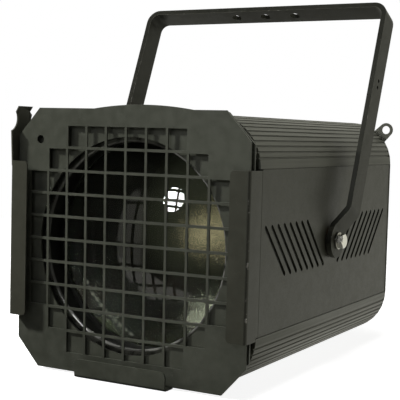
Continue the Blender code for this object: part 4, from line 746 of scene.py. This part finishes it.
nylon = moulded("black_nylon", (0.012, 0.012, 0.012), (0.020, 0.020, 0.020))
rubber = moulded("seal_rubber", (0.010, 0.010, 0.010), (0.018, 0.018, 0.018), (0.6, 0.8))
for node in ("gland_body", "gland_locknut"):
    dressed(node, "moulded", 0.0003, [nylon], "plastic")
coated(rubber, "gland_seal")
low, high, gland_at = box_of("gland_dome_nut")
outer, start_y, depth = (high[0] - low[0]) / 2, low[1], high[1] - low[1]
dome_nut = Recipe("ribbed_dome_nut", ribs=18, radius=outer - 0.0002, rib_radius=0.0005,
                  rib_length=depth * 0.62)
size = dome_nut.size
ring = dome_nut.node("GeometryNodeMeshCircle", {"Vertices": size["ribs"], "Radius": size["radius"]})
rib = dome_nut.node("GeometryNodeMeshCylinder", {
    "Vertices": 8, "Radius": size["rib_radius"], "Depth": size["rib_length"]})
ring = dome_nut.moved(dome_nut.at_points(ring, rib), (gland_at[0], start_y + depth * 0.33, gland_at[1]), 90)
ribbed = dome_nut.node("GeometryNodeMeshBoolean", {1: dome_nut.blank}, operation="UNION", solver="EXACT")
dome_nut.tree.links.new(dome_nut.whole(ring).socket, ribbed.socket.node.inputs[1])
dome_nut.ends(ribbed, nylon)
seal_bore, mouth, shoulder = 0.0083, 0.0055, start_y + depth * 0.66
dome_profile = [(seal_bore, start_y), (outer - 0.0003, start_y), (outer, start_y + 0.0003), (outer, shoulder)]
dome_profile += [(outer - 0.0040 * (1 - math.cos(a)), shoulder + depth * 0.34 * math.sin(a))
                 for a in (math.radians(t) for t in (15, 30, 45, 60, 75, 90))]
dome_profile += [(mouth, high[1]), (mouth, start_y + 0.0095), (seal_bore, start_y + 0.0095)]
made("gland_dome_moulded", dome_nut.made(turned(dome_profile, gland_at, 72)), [nylon], "plastic",
     "gland_dome_nut")


# Terminal block. Fired steatite, white with a few specks, with two holes for each pole, on the inside
# of the rear plate.
ceramic, start, feed = finish("steatite")
cloud = noise(start, 90.0, 3.0)
speck = noise(start, 1600.0, 1.0).step(0.68, 0.74)
white = cloud.between((0.72, 0.70, 0.63), (0.80, 0.78, 0.71))
feed("Base Color", (speck * 0.6).between(white, (0.35, 0.32, 0.26)))
feed("Roughness", cloud.step(0.3, 0.7).between(0.45, 0.62))
feed("Normal", relief(start, noise(start, 1200.0), 0.00004, 0.6))
dressed("terminal_block", "fired", 0.0005, [ceramic], "ceramic")


# Guide rods and front bracket. Two ground steel rods from a folded bracket behind the lens to the
# rear plate, on which the carriage slides.
def chamfered(hole, width, low, high, chamfer):
    """Profile of a bar, tube or washer of a width, its outer edges chamfered."""
    radius = width / 2
    return [(hole, low), (radius - chamfer, low), (radius, low + chamfer),
            (radius, high - chamfer), (radius - chamfer, high), (hole, high)]


def rounded_bar(node, chamfer, hole=0.0):
    """Turned bar or tube along Y that fills a CAD node's box."""
    low, high, middle = box_of(node)
    return turned(chamfered(hole, high[0] - low[0], low[1], high[1], chamfer), middle, 48)


def brushed(name, colour, gloss=(0.18, 0.32), warp=0.0):
    """Drawn or turned metal with fine marks round its length."""
    material, start, feed = finish(name, metallic=1.0)
    marks = noise(start, 1.0, 3.0, 0.6, stretched(start, 200, 5000, 200))
    stain = noise(start, 70.0, 3.0)
    feed("Base Color", stain.step(0.4, 0.75).between(colour, tuple(c * 0.78 for c in colour)))
    feed("Roughness", marks.step(0.3, 0.7).between(*gloss) + stain * warp)
    feed("Normal", relief(start, marks, 0.00001, 0.5))
    return material


ground_steel = brushed("ground_steel", (0.60, 0.60, 0.58))
brass = brushed("brass", (0.72, 0.52, 0.22), (0.22, 0.38), 0.1)
tube_bore = 0.0043
for side in ("right", "left"):
    node = "guide_rod_" + side
    made(node + "_ground", rounded_bar(node, 0.0006), [ground_steel], "steel", node)
dressed("front_bracket", "folded", sheet_ease, [rear_coat, rear_edge], "coat")


# Lead screw. Turned steel with a four-start rounded thread of 10 mm lead, held at the rear plate by a
# brass collar inside and the fluted focus knob outside.
def wound(recipe, steps, turns, radius, height, sides, wire):
    """Round wire wound to a helix, its ends closed."""
    helix = recipe.node("GeometryNodeCurveSpiral", {
        "Resolution": steps, "Rotations": turns, "Start Radius": radius, "End Radius": radius,
        "Height": height})
    circle = recipe.node("GeometryNodeCurvePrimitiveCircle", {"Resolution": sides, "Radius": wire})
    return recipe.node("GeometryNodeCurveToMesh", {
        "Curve": helix, "Profile Curve": circle, "Fill Caps": True})


low, high, screw_at = box_of("lead_screw")
axis_height = screw_at[1]
thread = Recipe("four_start_thread", lead=0.010, starts=4, threaded=0.196, core=0.00335, ridge=0.00062,
                first=low[1] + 0.004, axis_height=axis_height)
size = thread.size
helix = wound(thread, 20, size["threaded"] / size["lead"], size["core"], size["threaded"], 6, size["ridge"])
turns = thread.node("GeometryNodeMeshLine", {"Count": size["starts"], "Offset": (0, 0, 0)})
turn = thread.node("GeometryNodeInputIndex") * (2 * math.pi) / size["starts"]
helices = thread.at_points(turns, helix, thread.vector(Z=turn))
helices = thread.moved(helices, thread.vector(Y=size["first"], Z=size["axis_height"]), -90)
both = thread.node("GeometryNodeJoinGeometry", {0: thread.blank})
thread.tree.links.new(helices.socket, both.socket.node.inputs[0])
thread.ends(both, ground_steel)
shaft, waist, journal = 0.0040, 0.0034, high[1] - 0.034
core = [(0, low[1]), (0.0030, low[1]), (0.0036, low[1] + 0.0006), (0.0036, low[1] + 0.003),
        (waist, low[1] + 0.0032), (waist, journal), (shaft, journal + 0.0005), (shaft, high[1] - 0.0006),
        (waist, high[1]), (0, high[1])]
made("lead_screw_threaded", thread.made(turned(core, (0, axis_height), 32)), [ground_steel], "steel",
     "lead_screw", body="focus_drive")
made("screw_collar_turned", rounded_bar("screw_collar", 0.0003, tube_bore), [brass], "brass",
     "screw_collar", body="focus_drive")


# Focus knob. Moulded black plastic with twelve flutes, a dished face and a rounded rim, pushed onto
# the end of the lead screw.
def lobed(radius, depth, lobes, height=0.0, points=144):
    """Outline (X, Z) of a grip whose radius swings by a depth to either side."""
    angles = [2 * math.pi * i / points for i in range(points)]
    swings = [radius + depth * math.cos(lobes * a) for a in angles]
    return [(r * math.cos(a), height + r * math.sin(a)) for r, a in zip(swings, angles)]


low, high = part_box("focus_knob")
flute, seat_depth, dish_radius = 0.0005, high[1] - 0.0024, 0.0088
outline = lobed((high[0] - low[0]) / 2 - flute, flute, 12, axis_height)
bore = turned([(0, low[1] - 0.001), (tube_bore, low[1] - 0.001), (tube_bore, seat_depth), (0, seat_depth)],
              (0, axis_height), 40)
dish = turned([(dish_radius, high[1] + 0.001), (dish_radius, high[1] - 0.0002), (0.0084, high[1] - 0.0007),
               (0, high[1] - 0.0010), (0, high[1] + 0.001)], (0, axis_height), 64)
knob = cut_by(eased(plate(outline, low[1], high[1]), 0.0011, 3, 0, 60), bore, dish)
knob.shade_smooth()
made("focus_knob_moulded", knob, [nylon], "plastic", "focus_knob", body="focus_drive")


# Carriage. Zinc-plated steel, folded to a tray with two ears and an upright, on two brass tubes that
# run along the rods, with the brass block that takes the lead screw under it.
on_carriage = {"body": "focus_carriage"}
dressed("carriage", "folded", sheet_ease, [zinc], "steel", **on_carriage)
for side in ("right", "left"):
    node = "guide_tube_" + side
    made(node + "_turned", rounded_bar(node, 0.0002, tube_bore), [brass], "brass", node, **on_carriage)
dressed("screw_nut", "milled", 0.0004, [brass], "brass", **on_carriage)


# Reflector. A spun and anodised aluminium bowl, struck with shallow facets, riveted to the upright so
# that it sends the lamp's light forward through the filament.
mirror, start, feed = finish("anodised_mirror", metallic=1.0)
facets = start.node("ShaderNodeTexVoronoi", {"Vector": here(start), "Scale": 260.0, "Smoothness": 0.3},
                    feature="SMOOTH_F1")
haze, bright = noise(start, 60.0, 3.0), (0.90, 0.86, 0.74)
feed("Base Color", haze.step(0.35, 0.7).between(bright, tuple(c * 0.85 for c in bright)))
feed("Roughness", haze.step(0.3, 0.7).between(0.08, 0.2))
feed("Normal", relief(start, facets, 0.0006, 0.35))

low, high, bowl_at = box_of("reflector")
bowl_radius, bowl_sheet, bowl_lip, rivet_edge, bowl_edge = 0.0400, 0.0008, 0.0030, 87.4, 40
bowl_centre = (0, high[1] - bowl_radius - bowl_sheet)
inside = arc(bowl_centre, bowl_radius, rivet_edge, bowl_edge, 28)
lip_in, lip_y = inside[-1]
bowl = inside + [(lip_in + bowl_lip, lip_y), (lip_in + bowl_lip, lip_y + bowl_sheet)]
bowl += arc(bowl_centre, bowl_radius + bowl_sheet, bowl_edge, rivet_edge, 28)
made("reflector_spun", turned(bowl, (0, bowl_at[1]), 96), [mirror], "bright", "reflector", **on_carriage)
coated(zinc, "reflector_rivet")


# Lamp. A quartz envelope on a steatite base with two pins, in a steatite holder; a coiled tungsten
# filament stands at the reflector's centre.
dressed("lampholder", "fired", 0.0006, [ceramic], "ceramic", **on_carriage)
dressed("lamp_base", "fired", 0.0003, [ceramic], "ceramic", **on_carriage)
low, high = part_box("lamp_envelope")
focus_y, quartz_radius, quartz_wall = (low[1] + high[1]) / 2, (high[0] - low[0]) / 2, 0.0012
quartz_inside, dome_height = quartz_radius - quartz_wall, high[2] - quartz_radius
quartz = clear_glass("quartz", (0.98, 0.98, 0.98))
outside = [(0, low[2]), (quartz_radius - 0.001, low[2]), (quartz_radius, low[2] + 0.001),
           (quartz_radius, dome_height), *arc((0, dome_height), quartz_radius, 10, 90, 8)]
inside = [(0, low[2] + 0.008), (quartz_inside, low[2] + 0.009), (quartz_inside, dome_height),
          *arc((0, dome_height), quartz_inside, 10, 90, 8)]


def turned_upright(profile, y, steps=64):
    """Profile of (radius, height) turned about a vertical axis."""
    mesh = turned(profile, (0, 0), steps)
    mesh.transform(Matrix.Translation((0, y, 0)) @ Matrix.Rotation(math.radians(90), 4, "X"))
    return mesh


bulb = cut_by(turned_upright(outside, focus_y), turned_upright(inside, focus_y))
made("lamp_envelope_blown", bulb, [quartz], "glass", "lamp_envelope", **on_carriage)
coil = Recipe("filament", turns=14, radius=0.0011, wire=0.00022, length=0.0075, legs=4, spacing=0.0026,
              height=lens_height, depth=focus_y)
size = coil.size
spring = wound(coil, 12, size["turns"], size["radius"], size["length"], 5, size["wire"])
first_leg = coil.vector(X=size["spacing"] * (size["legs"] - 1) * -0.5, Y=size["depth"],
                        Z=size["height"] - size["length"] / 2)
row = coil.node("GeometryNodeMeshLine", {
    "Count": size["legs"], "Start Location": first_leg, "Offset": coil.vector(X=size["spacing"])})
tungsten = brushed("tungsten", (0.35, 0.34, 0.33), (0.3, 0.45))
coil.ends(coil.at_points(row, spring), tungsten)
made("lamp_filament", coil.made(bpy.data.meshes.new("none")), [tungsten], "steel", **on_carriage)


# Yoke. A flat steel strap, 20 by 4 mm, bent to a U with its ends set inwards to round pads, drilled for
# the clamp and powder coated, its narrow sides in a darker copy of the coat as painted shade; its edges have
# rubbed a little.
yoke_coat = powder_coat("yoke_coat", (0.018, 0.018, 0.013), (0.028, 0.028, 0.021), (0.42, 0.55), shine=0.24)
yoke_edge = rubbed_edge("yoke_edge", (0.050, 0.050, 0.040), (0.36, 0.35, 0.31))
# Darker copy of the yoke's coat: painted shade for the strap's narrow sides.
yoke_painted_shade = powder_coat("yoke_painted_shade", (0.009, 0.009, 0.007), (0.015, 0.015, 0.012), (0.45, 0.58), shine=0.16)
strap = eased(skin_of("yoke"), 0.0005, 3, 1)
lean = math.radians(22.5)
width_way = Vector((0, math.cos(lean), -math.sin(lean)))
# Painted shade: the strap's narrow sides get the darker copy of the coat.
for face in strap.polygons:
    if abs(face.normal.dot(width_way)) > 0.95 and face.material_index == 0:
        face.material_index = 2
made("yoke_bent", strap, [yoke_coat, yoke_edge, yoke_painted_shade], "coat", "yoke", body="yoke")


# Pivots. On the right a zinc-plated hex bolt on a dull washer, on the left a stud with a lobed tilt
# knob; fibre friction discs between the pads and the panels, flanged nuts inside.
pivot_y, pivot_z = 0.1344, 0.0947


def across_pivot(mesh, x=0.0, twist=0):
    """Mesh along Y laid along the pivots' axis from left to right, first twisted about its own."""
    mesh.transform(Matrix.Translation((x, pivot_y, pivot_z)) @ Matrix.Rotation(math.radians(-90), 4, "Z")
                   @ Matrix.Rotation(math.radians(twist), 4, "Y"))
    return mesh


def turned_across(profile, steps=64):
    """Profile of (radius, X) turned about the pivots' axis."""
    return across_pivot(turned(profile, (0, 0), steps))


def joined(name, *meshes):
    """Several meshes as one."""
    bm = bmesh.new()
    for mesh in meshes:
        bm.from_mesh(mesh)
    return mesh_of(bm, name)


low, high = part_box("pivot_bolt")
head, head_height, shank_radius, shank_end = high[0], 0.0040, 0.0030, high[0] - 0.0037
corner_radius = 0.0057735
hexagon = plate(arc((0, 0), corner_radius, 0, 300, 5), 0, head_height)
crown = turned_across([(0, head - 0.0041), (0.0050, head - 0.0041), (0.0060, head - 0.0036),
                       (0.0060, head - 0.0008), (0.0046, head), (0, head)], 96)
bolt = cut_by(across_pivot(hexagon, head - head_height, 8), crown, operation="INTERSECT")
shank = turned_across([(0, low[0]), (0.0026, low[0]), (shank_radius, low[0] + 0.0004),
                       (shank_radius, shank_end), (0, shank_end)], 40)
bolt = joined("bolt", eased(bolt, 0.0002, 2, 0, 20), shank)
made("pivot_bolt_forged", bolt, [zinc], "steel", "pivot_bolt")

fibre, start, feed = finish("pressed_fibre")
strands = noise(start, 900.0, 4.0, 0.7)
feed("Base Color", strands.step(0.3, 0.7).between((0.16, 0.07, 0.035), (0.26, 0.13, 0.07)))
feed("Roughness", strands.step(0.3, 0.7).between(0.7, 0.88))
feed("Normal", relief(start, strands, 0.00005, 0.6))
stud_hole = 0.0033
for side in ("right", "left"):
    for kind, surface, chamfer, slot in (("pivot_washer_", dull_zinc, 0.0002, "steel"),
                                         ("friction_disc_", fibre, 0.0001, "fibre")):
        node = kind + side
        low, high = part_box(node)
        profile = chamfered(stud_hole, high[1] - low[1], low[0], high[0], chamfer)
        made(node + "_punched", turned_across(profile), [surface], slot, node)
coated(zinc, "pivot_nut_right", "pivot_nut_left", "tilt_stud")

low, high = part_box("tilt_knob")
body_end, hub_radius = high[0] - 0.0100, 0.0070
grip = eased(plate(lobed(0.0155, 0.0015, 6), 0, body_end - low[0]), 0.0022, 5, 0, 60)
hub = turned_across([(stud_hole, body_end - 0.002), (hub_radius, body_end - 0.002),
                     (hub_radius, high[0] - 0.0006), (0.0064, high[0]), (stud_hole, high[0])])
made("tilt_knob_moulded", joined("knob", across_pivot(grip, low[0]), hub), [nylon], "plastic",
     "tilt_knob", body="tilt_lock")
